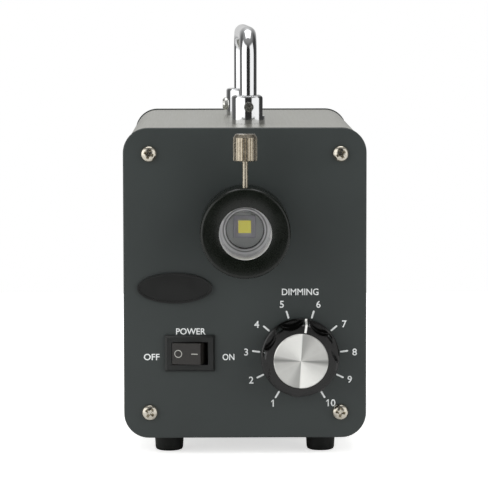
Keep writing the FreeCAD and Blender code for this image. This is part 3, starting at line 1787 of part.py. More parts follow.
def build_inlet():
    body = inlet_body("inlet_housing")
    flange = new_sketch(body)
    add_rounded(flange, d.inlet_flange_width, d.inlet_flange_height, d.inlet_flange_radius)
    pad(body, flange, d.inlet_flange_thickness)
    block = new_sketch(body)
    add_box(block, d.inlet_body_width, d.inlet_body_height)
    pad(body, block, d.inlet_body_depth, down=True)
    recess = new_sketch(body, d.inlet_flange_thickness)
    side = d.socket_width / 2
    low = d.socket_rise - d.socket_height / 2
    high = d.socket_rise + d.socket_height / 2
    add_path(
        recess,
        [
            (-side, low),
            (side, low),
            (side, high - d.socket_corner),
            (side - d.socket_corner, high),
            (d.socket_corner - side, high),
            (-side, high - d.socket_corner),
        ],
    )
    cut(body, recess, d.socket_depth)
    slots = new_sketch(body, socket_floor)
    for x, y in pin_places():
        add_box(slots, d.pin_thickness + d.seat_gap, d.pin_width + d.seat_gap, x, y)
    cut(body, slots, d.inlet_body_depth)
    drawer = new_sketch(body, d.inlet_flange_thickness)
    add_box(
        drawer,
        d.drawer_width + 2 * d.drawer_clearance,
        d.drawer_height + 2 * d.drawer_clearance,
        0,
        -d.drawer_drop,
    )
    cut(body, drawer, d.drawer_depth + d.drawer_clearance)
    ears = new_sketch(body, d.inlet_flange_thickness)
    for across in (-1, 1):
        add_circle(ears, d.inlet_screw_radius + d.hole_gap, across * d.inlet_screw_spacing / 2)
    cut(body, ears, d.inlet_flange_thickness)

    pins = inlet_body("inlet_pins")
    blades = new_sketch(pins, d.inlet_flange_thickness - d.pin_set_back)
    for x, y in pin_places():
        add_box(blades, d.pin_thickness, d.pin_width, x, y)
    reach = d.inlet_flange_thickness - d.pin_set_back + d.inlet_body_depth + d.pin_tail
    pad(pins, blades, reach, down=True)

    screws = new_body("inlet_screws", 0, back_y + d.inlet_flange_thickness, inlet_z, "back")
    pan_screw(
        screws,
        -d.inlet_screw_spacing / 2,
        0,
        d.inlet_screw_head_radius,
        d.inlet_screw_head_height,
        d.inlet_screw_radius,
        d.inlet_flange_thickness + d.plate_thickness + d.screw_tail,
        crossed=False,
    )
    row_pattern(screws, d.inlet_screw_spacing)


def build_fuse_drawer():
    """A drawer under the mains socket, with a window across it for the fuse."""
    body = inlet_body("fuse_drawer")
    block = new_sketch(body, d.inlet_flange_thickness)
    add_box(block, d.drawer_width, d.drawer_height, 0, -d.drawer_drop)
    pad(body, block, d.drawer_depth, down=True)
    tab = new_sketch(body, d.inlet_flange_thickness)
    tab_y = (d.drawer_height - d.drawer_tab_height) / 2 - d.drawer_drop
    add_box(tab, d.drawer_tab_width, d.drawer_tab_height, 0, tab_y)
    pad(body, tab, d.drawer_tab_proud)
    window = new_sketch(body, d.drawer_drop, plane="XZ_Plane")
    add_box(
        window,
        d.fuse_length + 2 * d.fuse_gap,
        2 * (d.fuse_radius + d.fuse_gap),
        0,
        -d.fuse_set_back,
    )
    cut(body, window, d.drawer_height + d.overrun, middle=True)
    fuse = inlet_body("fuse")
    glass = new_sketch(fuse, -d.fuse_length / 2, plane="YZ_Plane")
    add_circle(glass, d.fuse_radius, -d.drawer_drop, -d.fuse_set_back)
    pad(fuse, glass, d.fuse_length)


# Driver board

board_z = floor_z + d.board_lift
board_top = board_z + d.board_thickness
board_y = front_y + d.board_set_back


def build_driver_board():
    body = new_body("driver_board", 0, board_y, board_z)
    sketch = new_sketch(body)
    width = 2 * (half_inner_width - d.board_side_gap)
    add_box(sketch, width, d.board_length, 0, d.board_length / 2)
    pad(body, sketch, d.board_thickness)


def build_transformer():
    """A laminated core with two windows, and the coil that fills them round the middle leg."""
    place = (d.transformer_x, board_y + d.transformer_set_back, board_top)
    core = new_body("transformer_core", *place)
    front = new_sketch(core, plane="XZ_Plane")
    window = (d.core_width - 2 * d.core_yoke - d.core_leg) / 2
    middle_x = (d.core_leg + window) / 2
    tall = d.core_height - 2 * d.core_yoke
    add_box(front, d.core_width, d.core_height, 0, d.core_height / 2)
    for across in (-1, 1):
        add_box(front, window, tall, across * middle_x, d.core_height / 2)
    pad(core, front, d.core_depth, middle=True)
    coil = new_body("transformer_coil", *place)
    ring = new_sketch(coil, d.core_yoke + d.coil_gap)
    outer_x = d.core_leg + 2 * window - 2 * d.coil_gap
    outer_y = d.core_depth + 2 * d.coil_overhang
    add_rounded(ring, outer_x, outer_y, d.coil_overhang - d.coil_gap)
    add_box(ring, d.core_leg + 2 * d.coil_gap, d.core_depth + 2 * d.coil_gap)
    pad(coil, ring, tall - 2 * d.coil_gap)


def build_board_parts():
    caps = new_body(
        "board_capacitors", d.capacitor_x, board_y + d.capacitor_set_back, board_top
    )
    cans = new_sketch(caps)
    for index in range(THREE):
        add_circle(cans, d.capacitor_radius, 0, index * d.capacitor_pitch)
    pad(caps, cans, d.capacitor_height)
    blocks = new_body("terminal_blocks", 0, board_y, board_top)
    row = new_sketch(blocks)
    far = d.board_length - d.terminal_block_inset
    for across in (-1, 1):
        for depth in (d.terminal_block_inset, far):
            add_box(
                row,
                d.terminal_block_width,
                d.terminal_block_depth,
                across * d.terminal_block_pitch / 2,
                depth,
            )
    pad(blocks, row, d.terminal_block_height)


build_housing_shell()
build_front_panel()
build_rear_panel()
build_panel_screws()
build_feet()
build_foot_fasteners()
build_handle_bow()
build_handle_posts()
build_handle_fasteners()
build_port_collar()
build_port_sleeve()
build_port_fasteners()
build_lens()
build_thumb_screw()
build_lamp()
build_badge()
build_rocker_switch()
build_knob()
build_knob_trim()
build_potentiometer()
build_fan_frame()
build_fan_rotor()
build_fan_guard()
build_fan_fasteners()
build_inlet()
build_fuse_drawer()
build_driver_board()
build_transformer()
build_board_parts()

doc.recompute()
for item in doc.Objects:
    if "Invalid" in item.State or "Error" in item.State:
        raise RuntimeError(f"{item.Label} failed: {item.State}")
for item in SUBPARTS:
    if item.Shape.isNull() or not item.Shape.isValid() or not item.Shape.Solids:
        raise RuntimeError(f"{item.Label} has no sound solid")

os.makedirs("parts", exist_ok=True)
for item in SUBPARTS:
    item.Shape.exportStep(f"parts/{item.Label}.step")
print(len(SUBPARTS), "sub-parts written")
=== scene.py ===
import json
import math

import bmesh
import bpy
from mathutils import Matrix, Vector


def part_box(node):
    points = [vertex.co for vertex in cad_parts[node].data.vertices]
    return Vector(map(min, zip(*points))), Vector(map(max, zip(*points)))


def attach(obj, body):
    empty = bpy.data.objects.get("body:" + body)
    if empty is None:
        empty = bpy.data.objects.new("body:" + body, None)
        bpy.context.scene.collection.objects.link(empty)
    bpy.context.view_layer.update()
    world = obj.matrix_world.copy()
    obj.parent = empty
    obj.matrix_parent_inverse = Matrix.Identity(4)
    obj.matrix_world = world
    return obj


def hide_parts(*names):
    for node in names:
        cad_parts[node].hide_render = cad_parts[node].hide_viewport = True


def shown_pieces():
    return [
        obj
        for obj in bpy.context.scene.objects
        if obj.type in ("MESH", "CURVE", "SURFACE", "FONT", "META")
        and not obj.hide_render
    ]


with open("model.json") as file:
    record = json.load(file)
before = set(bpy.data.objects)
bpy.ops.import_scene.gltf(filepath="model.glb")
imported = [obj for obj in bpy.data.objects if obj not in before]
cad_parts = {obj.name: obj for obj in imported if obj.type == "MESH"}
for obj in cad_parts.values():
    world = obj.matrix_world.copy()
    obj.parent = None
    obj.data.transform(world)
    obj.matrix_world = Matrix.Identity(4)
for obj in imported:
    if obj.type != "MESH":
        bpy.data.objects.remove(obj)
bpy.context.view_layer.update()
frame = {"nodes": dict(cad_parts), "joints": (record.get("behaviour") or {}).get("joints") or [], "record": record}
scene = bpy.context.scene
nodes = frame["nodes"]
MM = 0.001

panel_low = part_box("front_panel")[0]
FRONT_Y = panel_low.y
BASE_Z = panel_low.z


def srgb(*values):
    """A colour as it is read off a screen, 0 to 255, as Blender's linear numbers."""
    out = []
    for value in values:
        share = value / 255
        out.append(share / 12.92 if share <= 0.04045 else ((share + 0.055) / 1.055) ** 2.4)
    return (*out, 1.0)


# Materials

def new_material(name):
    mat = bpy.data.materials.new(name)
    mat.use_nodes = True
    mat.node_tree.nodes.clear()
    return mat, mat.node_tree.nodes, mat.node_tree.links


def noise(tree_nodes, links, vector, scale, detail=4.0, roughness=0.55):
    node = tree_nodes.new("ShaderNodeTexNoise")
    node.inputs["Scale"].default_value = scale
    node.inputs["Detail"].default_value = detail
    node.inputs["Roughness"].default_value = roughness
    links.new(vector, node.inputs["Vector"])
    return node


def spread(tree_nodes, links, source, low, high, from_low=0.3, from_high=0.7):
    node = tree_nodes.new("ShaderNodeMapRange")
    node.inputs["From Min"].default_value = from_low
    node.inputs["From Max"].default_value = from_high
    node.inputs["To Min"].default_value = low
    node.inputs["To Max"].default_value = high
    links.new(source, node.inputs["Value"])
    return node.outputs["Result"]


GRAIN_DEPTH = 0.00004
LATHE_LINE_DEPTH = 0.00002
COAT_ROUGHNESS = 0.08
SMOOTHEST = 0.02
FLECK_SCALE_SHARE = 0.35
FLECK_RANGE = (0.52, 0.68)
GLOSS_RANGE = (0.7, 1.3)


def finish_of(
    name,
    color,
    roughness,
    metallic=0.0,
    mottle=0.05,
    mottle_scale=90.0,
    grain_scale=2400.0,
    grain_bump=0.06,
    rough_spread=0.05,
    stretch=(1.0, 1.0, 1.0),
    edge=0.0,
    specular=0.5,
    coat=0.0,
    wear=0.0,
):
    """A finish with slow colour change, a fine surface grain and uneven gloss."""
    mat, tree, links = new_material(name)
    coordinates = tree.new("ShaderNodeTexCoord")
    mapping = tree.new("ShaderNodeMapping")
    mapping.inputs["Scale"].default_value = stretch
    links.new(coordinates.outputs["Object"], mapping.inputs["Vector"])
    vector = mapping.outputs["Vector"]
    slow = noise(tree, links, vector, mottle_scale)
    fine = noise(tree, links, vector, grain_scale, detail=2.0)

    tint = tree.new("ShaderNodeMix")
    tint.data_type = "RGBA"
    dark = [channel * (1 - mottle) for channel in color[:3]]
    light = [min(channel * (1 + mottle), 1.0) for channel in color[:3]]
    tint.inputs["A"].default_value = (*dark, 1.0)
    tint.inputs["B"].default_value = (*light, 1.0)
    links.new(spread(tree, links, slow.outputs["Fac"], 0.0, 1.0), tint.inputs["Factor"])
    tone = tint.outputs["Result"]
    if wear:
        speck = noise(tree, links, vector, grain_scale * FLECK_SCALE_SHARE, detail=3.0)
        fleck = tree.new("ShaderNodeMix")
        fleck.data_type = "RGBA"
        fleck.blend_type = "MULTIPLY"
        fleck.inputs["B"].default_value = (1 - wear, 1 - wear, 1 - wear, 1.0)
        links.new(
            spread(tree, links, speck.outputs["Fac"], 0.0, 1.0, *FLECK_RANGE),
            fleck.inputs["Factor"],
        )
        links.new(tone, fleck.inputs["A"])
        tone = fleck.outputs["Result"]

    shader = tree.new("ShaderNodeBsdfPrincipled")
    shader.inputs["Metallic"].default_value = metallic
    shader.inputs["Specular IOR Level"].default_value = specular
    shader.inputs["Coat Weight"].default_value = coat
    shader.inputs["Coat Roughness"].default_value = COAT_ROUGHNESS
    links.new(tone, shader.inputs["Base Color"])
    mixed = tree.new("ShaderNodeMath")
    mixed.operation = "ADD"
    links.new(slow.outputs["Fac"], mixed.inputs[0])
    links.new(fine.outputs["Fac"], mixed.inputs[1])
    links.new(
        spread(
            tree,
            links,
            mixed.outputs[0],
            max(roughness - rough_spread, SMOOTHEST),
            min(roughness + rough_spread, 1.0),
            *GLOSS_RANGE,
        ),
        shader.inputs["Roughness"],
    )
    bump = tree.new("ShaderNodeBump")
    bump.inputs["Strength"].default_value = grain_bump
    bump.inputs["Distance"].default_value = GRAIN_DEPTH
    links.new(fine.outputs["Fac"], bump.inputs["Height"])
    if edge:
        soft = tree.new("ShaderNodeBevel")
        soft.samples = 4
        soft.inputs["Radius"].default_value = edge
        links.new(soft.outputs["Normal"], bump.inputs["Normal"])
    links.new(bump.outputs["Normal"], shader.inputs["Normal"])
    output = tree.new("ShaderNodeOutputMaterial")
    links.new(shader.outputs["BSDF"], output.inputs["Surface"])
    mat["shader"] = shader.name
    mat["bump"] = bump.name
    return mat


def shader_of(mat):
    return mat.node_tree.nodes[mat["shader"]]


def add_lathe_lines(mat, scale):
    """Adds fine machining lines across the Y axis to a finish, as bump."""
    tree, links = mat.node_tree.nodes, mat.node_tree.links
    coordinates = tree.new("ShaderNodeTexCoord")
    wave = tree.new("ShaderNodeTexWave")
    wave.wave_type = "BANDS"
    wave.bands_direction = "Y"
    wave.inputs["Scale"].default_value = scale
    wave.inputs["Distortion"].default_value = 0.0
    links.new(coordinates.outputs["Object"], wave.inputs["Vector"])
    bump = tree.new("ShaderNodeBump")
    bump.inputs["Strength"].default_value = 0.5
    bump.inputs["Distance"].default_value = LATHE_LINE_DEPTH
    links.new(wave.outputs["Fac"], bump.inputs["Height"])
    links.new(tree[mat["bump"]].outputs["Normal"], bump.inputs["Normal"])
    links.new(bump.outputs["Normal"], shader_of(mat).inputs["Normal"])


def ramp_of(tree, links, source, rows, blue_share=1.0):
    """A grey level for each value of the source, from rows of (place, level)."""
    node = tree.new("ShaderNodeValToRGB")
    elements = node.color_ramp.elements
    while len(elements) < len(rows):
        elements.new(0.5)
    for element, (at, level) in zip(elements, rows):
        element.position = at
        element.color = (level, level, level * blue_share, 1.0)
    links.new(source, node.inputs["Fac"])
    return node.outputs["Color"]


def multiply_color(mat, color, weight=None):
    """Multiplies a finish's colour by another one, in full or by a weight."""
    tree, links = mat.node_tree.nodes, mat.node_tree.links
    target = shader_of(mat).inputs["Base Color"]
    base = next(link.from_socket for link in links if link.to_socket == target)
    mix = tree.new("ShaderNodeMix")
    mix.data_type = "RGBA"
    mix.blend_type = "MULTIPLY"
    if weight:
        links.new(weight, mix.inputs["Factor"])
    else:
        mix.inputs["Factor"].default_value = 1.0
    links.new(base, mix.inputs["A"])
    links.new(color, mix.inputs["B"])
    links.new(mix.outputs["Result"], target)


shell_finish = finish_of(
    "shell_finish", srgb(171, 171, 163), 0.34, metallic=0.75, mottle=0.035, mottle_scale=160,
    grain_scale=1600, grain_bump=0.10, rough_spread=0.05, stretch=(1.0, 0.02, 1.0),
)
plate_finish = finish_of(
    "plate_finish", srgb(51, 56, 55), 0.46, mottle=0.07, mottle_scale=22, grain_scale=3200,
    grain_bump=0.10, rough_spread=0.05, edge=0.0003, specular=0.45,
)
screw_steel = finish_of(
    "screw_steel", srgb(214, 208, 194), 0.22, metallic=1.0, mottle=0.10, mottle_scale=700,
    grain_scale=4000, grain_bump=0.12, wear=0.25,
)
foot_plastic = finish_of(
    "foot_plastic", srgb(9, 12, 9), 0.55, specular=0.3, mottle=0.12, mottle_scale=300, grain_bump=0.15,
)
handle_chrome = finish_of(
    "handle_chrome", srgb(226, 227, 228), 0.07, metallic=1.0, mottle=0.02, rough_spread=0.02,
    grain_bump=0.02, edge=0.0003,
)
pivot_steel = finish_of(
    "pivot_steel", srgb(226, 226, 220), 0.26, metallic=1.0, mottle=0.06, mottle_scale=900,
    grain_scale=4000, grain_bump=0.10,
)
collar_black = finish_of(
    "collar_black", srgb(11, 15, 10), 0.27, mottle=0.15, mottle_scale=120, grain_bump=0.05,
    specular=0.4,
)
sleeve_aluminium = finish_of(
    "sleeve_aluminium", srgb(252, 252, 253), 0.20, metallic=0.4, mottle=0.05,
    mottle_scale=400, grain_bump=0.05, edge=0.00015,
)
add_lathe_lines(sleeve_aluminium, 900)
black_anodised = finish_of("black_anodised", srgb(22, 22, 24), 0.4, mottle=0.1)
thumb_steel = finish_of(
    "thumb_steel", srgb(184, 175, 158), 0.26, metallic=1.0, mottle=0.12, mottle_scale=600,
    grain_bump=0.1, edge=0.0001, wear=0.2,
)
nylon = finish_of("nylon", srgb(236, 234, 224), 0.5, mottle=0.03)
sink_aluminium = finish_of(
    "sink_aluminium", srgb(196, 198, 200), 0.35, metallic=1.0, mottle=0.05,
    stretch=(1.0, 0.03, 0.03),
)
led_board_white = finish_of("led_board_white", srgb(230, 230, 226), 0.4, mottle=0.03)
led_ceramic = finish_of("led_ceramic", srgb(196, 190, 204), 0.35, mottle=0.06)
phosphor_yellow = finish_of("phosphor_yellow", srgb(252, 240, 96), 0.4, mottle=0.10, mottle_scale=900)
# Painted light: the phosphor is given a faint glow of its own, though the LED is not lit.
shader_of(phosphor_yellow).inputs["Emission Color"].default_value = srgb(236, 222, 84)
shader_of(phosphor_yellow).inputs["Emission Strength"].default_value = 0.35
badge_black = finish_of(
    "badge_black", srgb(17, 18, 17), 0.36, mottle=0.12, mottle_scale=150, grain_scale=2600,
    grain_bump=0.12, edge=0.0002,
)
switch_plastic = finish_of(
    "switch_plastic", srgb(22, 24, 23), 0.38, mottle=0.12, mottle_scale=260, grain_scale=4200,
    grain_bump=0.18, edge=0.0002,
)
button_plastic = finish_of(
    "button_plastic", srgb(36, 34, 32), 0.34, mottle=0.08, mottle_scale=260, grain_scale=4200,
    grain_bump=0.10, edge=0.0002,
)
terminal_brass = finish_of(
    "terminal_brass", srgb(206, 178, 110), 0.28, metallic=1.0, mottle=0.08, mottle_scale=400,
    wear=0.15,
)
knob_plastic = finish_of(
    "knob_plastic", srgb(8, 8, 7), 0.12, mottle=0.15, mottle_scale=160, grain_scale=1800,
    grain_bump=0.02, rough_spread=0.03, edge=0.0004,
)
pointer_white = finish_of("pointer_white", srgb(240, 240, 236), 0.4, mottle=0.03, mottle_scale=700)
pot_casting = finish_of("pot_casting", srgb(60, 62, 66), 0.5, mottle=0.08)
shaft_aluminium = finish_of("shaft_aluminium", srgb(200, 200, 198), 0.3, metallic=1.0)
add_lathe_lines(shaft_aluminium, 1200)
fan_plastic = finish_of(
    "fan_plastic", srgb(24, 24, 24), 0.45, mottle=0.1, mottle_scale=200, grain_bump=0.12,
    edge=0.0002,
)
guard_chrome = finish_of(
    "guard_chrome", srgb(210, 210, 208), 0.12, metallic=1.0, mottle=0.04, mottle_scale=300,
)
inlet_plastic = finish_of(
    "inlet_plastic", srgb(22, 22, 23), 0.42, mottle=0.12, mottle_scale=220, grain_scale=3600,
    grain_bump=0.18, edge=0.0002,
)
board_green = finish_of("board_green", srgb(28, 88, 48), 0.35, mottle=0.2, mottle_scale=500)
core_steel = finish_of(
    "core_steel", srgb(84, 84, 88), 0.4, metallic=0.7, mottle=0.12, stretch=(0.05, 1.0, 0.05),
    grain_bump=0.3,
)
coil_tape = finish_of("coil_tape", srgb(222, 170, 54), 0.35, mottle=0.08, coat=0.3)
capacitor_sleeve = finish_of("capacitor_sleeve", srgb(26, 38, 82), 0.25, mottle=0.05, coat=0.2)
terminal_green = finish_of("terminal_green", srgb(42, 120, 80), 0.42, mottle=0.06)
legend_white = finish_of(
    "legend_white", srgb(226, 229, 228), 0.55, mottle=0.05, mottle_scale=2500,
    grain_scale=9000, grain_bump=0.1,
)
rocker_grey = finish_of(
    "rocker_grey", srgb(168, 168, 162), 0.5, mottle=0.05, mottle_scale=2500,
    grain_scale=9000, grain_bump=0.1,
)


DUST_SCALE = 900
DUST_HAZE = 0.03


def glass_finish(name, color, roughness):
    mat, tree, links = new_material(name)
    coordinates = tree.new("ShaderNodeTexCoord")
    dust = noise(tree, links, coordinates.outputs["Object"], DUST_SCALE, detail=3.0)
    shader = tree.new("ShaderNodeBsdfPrincipled")
    shader.inputs["Base Color"].default_value = color
    shader.inputs["Transmission Weight"].default_value = 1.0
    shader.inputs["IOR"].default_value = 1.5
    links.new(
        spread(tree, links, dust.outputs["Fac"], roughness, roughness + DUST_HAZE, 0.5, 0.9),
        shader.inputs["Roughness"],
    )
    output = tree.new("ShaderNodeOutputMaterial")
    links.new(shader.outputs["BSDF"], output.inputs["Surface"])
    return mat


lens_glass = glass_finish("lens_glass", srgb(250, 252, 253), 0.0)

FUSE_GLASS_HALF_LENGTH = 0.0045


def fuse_finish():
    """A glass tube between two nickel end caps, told apart by their place along the tube."""
    mat = glass_finish("fuse_glass", srgb(240, 246, 244), 0.01)
    tree, links = mat.node_tree.nodes, mat.node_tree.links
    glass = next(node for node in tree if node.type == "BSDF_PRINCIPLED")
    output = next(node for node in tree if node.type == "OUTPUT_MATERIAL")
    cap = tree.new("ShaderNodeBsdfPrincipled")
    cap.inputs["Base Color"].default_value = srgb(206, 206, 200)
    cap.inputs["Metallic"].default_value = 1.0
    cap.inputs["Roughness"].default_value = 0.22
    coordinates = tree.new("ShaderNodeTexCoord")
    split = tree.new("ShaderNodeSeparateXYZ")
    links.new(coordinates.outputs["Object"], split.inputs["Vector"])
    size = tree.new("ShaderNodeMath")
    size.operation = "ABSOLUTE"
    links.new(split.outputs["X"], size.inputs[0])
    past = tree.new("ShaderNodeMath")
    past.operation = "GREATER_THAN"
    past.inputs[1].default_value = FUSE_GLASS_HALF_LENGTH
    links.new(size.outputs[0], past.inputs[0])
    mix = tree.new("ShaderNodeMixShader")
    links.new(past.outputs[0], mix.inputs["Fac"])
    links.new(glass.outputs["BSDF"], mix.inputs[1])
    links.new(cap.outputs["BSDF"], mix.inputs[2])
    links.new(mix.outputs["Shader"], output.inputs["Surface"])
    return mat


fuse_glass = fuse_finish()

# Places are shares of half a turn about the cap's axis; levels are painted highlight and shade.
CAP_PAINTED_HIGHLIGHT = [
    (0.0, 0.44), (0.03, 0.76), (0.14, 0.84), (0.30, 0.66), (0.40, 0.44), (0.472, 0.38),
    (0.492, 1.0), (0.72, 1.0), (0.92, 0.92), (0.955, 0.60), (0.983, 0.34), (1.0, 0.44),
]
CAP_BLUE_SHARE = 0.985
CAP_RINGS_SCALE = 700.0
CAP_RINGS_LEAST = 0.88


def spun_finish_painted_highlight():
    """Aluminium faced on a lathe: fine rings, anisotropic gloss, and painted highlight and shade by angle about
    its axis.
    """
    mat = finish_of(
        "cap_aluminium", srgb(252, 252, 249), 0.36, metallic=0.8, mottle=0.02,
        mottle_scale=300, grain_bump=0.02, rough_spread=0.03,
    )
    tree, links = mat.node_tree.nodes, mat.node_tree.links
    shader = shader_of(mat)
    shader.inputs["Anisotropic"].default_value = 0.85
    cap_low, cap_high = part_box("knob_cap")
    centre = (cap_low + cap_high) / 2
    place = tree.new("ShaderNodeNewGeometry")
    arm = tree.new("ShaderNodeVectorMath")
    arm.operation = "SUBTRACT"
    arm.inputs[1].default_value = centre
    links.new(place.outputs["Position"], arm.inputs[0])
    along = tree.new("ShaderNodeVectorMath")
    along.operation = "CROSS_PRODUCT"
    along.inputs[1].default_value = (0.0, 1.0, 0.0)
    links.new(arm.outputs[0], along.inputs[0])
    unit = tree.new("ShaderNodeVectorMath")
    unit.operation = "NORMALIZE"
    links.new(along.outputs[0], unit.inputs[0])
    links.new(unit.outputs[0], shader.inputs["Tangent"])

    split = tree.new("ShaderNodeSeparateXYZ")
    links.new(arm.outputs[0], split.inputs["Vector"])
    turn = tree.new("ShaderNodeMath")
    turn.operation = "ARCTAN2"
    links.new(split.outputs["Z"], turn.inputs[0])
    links.new(split.outputs["X"], turn.inputs[1])
    half_turns = tree.new("ShaderNodeMath")
    half_turns.operation = "DIVIDE"
    half_turns.inputs[1].default_value = math.pi
    links.new(turn.outputs[0], half_turns.inputs[0])
    share = tree.new("ShaderNodeMath")
    share.operation = "FRACT"
    links.new(half_turns.outputs[0], share.inputs[0])
    # Painted highlight: the cap's colour is made lighter and darker by angle about its axis.
    painted_highlight_by_angle = ramp_of(tree, links, share.outputs[0], CAP_PAINTED_HIGHLIGHT, CAP_BLUE_SHARE)
    rings = tree.new("ShaderNodeTexWave")
    rings.wave_type = "RINGS"
    rings.rings_direction = "Y"
    rings.inputs["Scale"].default_value = CAP_RINGS_SCALE
    links.new(arm.outputs[0], rings.inputs["Vector"])
    weight = spread(tree, links, rings.outputs["Fac"], CAP_RINGS_LEAST, 1.0, 0.0, 1.0)
    multiply_color(mat, painted_highlight_by_angle, weight)
    return mat


cap_aluminium = spun_finish_painted_highlight()

# Places are shares of the way from the inner to the outer radius, both in metres; levels are painted light and
# shade.
BORE_RINGS_INNER, BORE_RINGS_OUTER = 0.0076, 0.0110
BORE_PAINTED_LIGHT_AND_SHADE = [
    (0.0, 0.30), (0.16, 0.34), (0.20, 0.92), (0.33, 0.96), (0.37, 0.36), (0.50, 0.42),
    (0.56, 1.0), (0.80, 0.98), (0.86, 0.55), (0.92, 0.95),
]


def add_painted_bore_light_and_shade():
    """Painted light and shade for the turned steps inside the light port: bright and dark rings in the sleeve's
    colour, told apart by their distance from its axis.
    """
    tree, links = sleeve_aluminium.node_tree.nodes, sleeve_aluminium.node_tree.links
    low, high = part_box("port_collar")
    place = tree.new("ShaderNodeNewGeometry")
    arm = tree.new("ShaderNodeVectorMath")
    arm.operation = "SUBTRACT"
    arm.inputs[1].default_value = (low + high) / 2
    links.new(place.outputs["Position"], arm.inputs[0])
    flat = tree.new("ShaderNodeVectorMath")
    flat.operation = "MULTIPLY"
    flat.inputs[1].default_value = (1.0, 0.0, 1.0)
    links.new(arm.outputs[0], flat.inputs[0])
    reach = tree.new("ShaderNodeVectorMath")
    reach.operation = "LENGTH"
    links.new(flat.outputs[0], reach.inputs[0])
    share = spread(
        tree, links, reach.outputs["Value"], 0.0, 1.0, BORE_RINGS_INNER, BORE_RINGS_OUTER
    )
    # Painted light and shade: the sleeve's colour is made brighter and darker in rings.
    multiply_color(sleeve_aluminium, ramp_of(tree, links, share, BORE_PAINTED_LIGHT_AND_SHADE))


add_painted_bore_light_and_shade()

SLOTS = {
    "shell_finish": shell_finish,
    "plate_finish": plate_finish,
    "screw_steel": screw_steel,
    "foot_plastic": foot_plastic,
    "handle_chrome": handle_chrome,
    "collar_black": collar_black,
    "sleeve_aluminium": sleeve_aluminium,
    "lens_glass": lens_glass,
    "black_anodised": black_anodised,
    "thumb_steel": thumb_steel,
    "nylon": nylon,
    "sink_aluminium": sink_aluminium,
    "led_board_white": led_board_white,
    "led_ceramic": led_ceramic,
    "phosphor_yellow": phosphor_yellow,
    "badge_black": badge_black,
    "switch_plastic": switch_plastic,
    "button_plastic": button_plastic,
    "terminal_brass": terminal_brass,
    "knob_plastic": knob_plastic,
    "cap_aluminium": cap_aluminium,
    "pointer_white": pointer_white,
    "pot_casting": pot_casting,
    "shaft_aluminium": shaft_aluminium,
    "fan_plastic": fan_plastic,
    "guard_chrome": guard_chrome,
    "inlet_plastic": inlet_plastic,
    "fuse_glass": fuse_glass,
    "board_green": board_green,
    "core_steel": core_steel,
    "coil_tape": coil_tape,
    "capacitor_sleeve": capacitor_sleeve,
    "terminal_green": terminal_green,
}

slot_of = {row["node"]: row["material_slot"] for row in frame["record"]["subparts"]}


def smooth_by_angle(mesh, degrees=32.0):
    """Smooth shading that stays crisp where two faces meet at more than the angle."""
    work = bmesh.new()
    work.from_mesh(mesh)
    limit = math.radians(degrees)
    for face in work.faces:
        face.smooth = True
    for edge in work.edges:
        edge.smooth = len(edge.link_faces) == 2 and edge.calc_face_angle(0.0) < limit
    work.to_mesh(mesh)
    work.free()


for name, item in nodes.items():
    item.data.materials.clear()
    item.data.materials.append(SLOTS[slot_of[name]])
for name in ("handle_pivot_front", "handle_pivot_rear", "handle_lock_screw"):
    nodes[name].data.materials[0] = pivot_steel


# Printed legends

def add_piece(name, mesh, mat, body):
    mesh.materials.clear()
    mesh.materials.append(mat)
    piece = bpy.data.objects.new(name, mesh)
    scene.collection.objects.link(piece)
    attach(piece, body)
    return piece


def on_panel(x, z):
    """A place on the front plate, in millimetres from its lower middle."""
    return Vector((x * MM, FRONT_Y, BASE_Z + z * MM))


PRINT_LIFT = 0.03
LETTER_DEPTH = 0.01
LETTER_THICKENING = 0.014


def finished(work, name):
    """The mesh of a closed shape, with its faces turned outward."""
    bmesh.ops.recalc_face_normals(work, faces=work.faces)
    mesh = bpy.data.meshes.new(name)
    work.to_mesh(mesh)
    work.free()
    return mesh


def prism(outline, depth):
    """A flat shape in X and Z, given depth towards the viewer."""
    work = bmesh.new()
    back = [work.verts.new((x, 0.0, z)) for x, z in outline]
    front = [work.verts.new((x, -depth, z)) for x, z in outline]
    work.faces.new(front)
    work.faces.new(list(reversed(back)))
    for index in range(len(outline)):
        following = (index + 1) % len(outline)
        work.faces.new([back[index], back[following], front[following], front[index]])
    return finished(work, "prism")


def turned(profile, steps):
    """A closed outline of (radius, distance towards the viewer), turned about the Y axis."""
    work = bmesh.new()
    rows = []
    for radius, reach in profile:
        if radius == 0:
            rows.append([work.verts.new((0.0, -reach * MM, 0.0))] * steps)
            continue
        rows.append([
            work.verts.new((
                radius * MM * math.cos(2 * math.pi * step / steps),
                -reach * MM,
                radius * MM * math.sin(2 * math.pi * step / steps),
            ))
            for step in range(steps)
        ])
    for index, row in enumerate(rows):
        following = rows[(index + 1) % len(rows)]
        for step in range(steps):
            after = (step + 1) % steps
            corners = []
            for corner in (row[step], row[after], following[after], following[step]):
                if corner not in corners:
                    corners.append(corner)
            if len(corners) > 2:
                work.faces.new(corners)
    return finished(work, "turned")


def bar_outline(length, width, steps=6):
    """A bar along Z with round ends."""
    points = []
    half = width / 2
    straight = length / 2 - half
    for sign in (1, -1):
        for step in range(steps + 1):
            angle = math.pi * step / steps + (0 if sign > 0 else math.pi)
            points.append((half * math.cos(angle), sign * straight + half * math.sin(angle)))
    return points


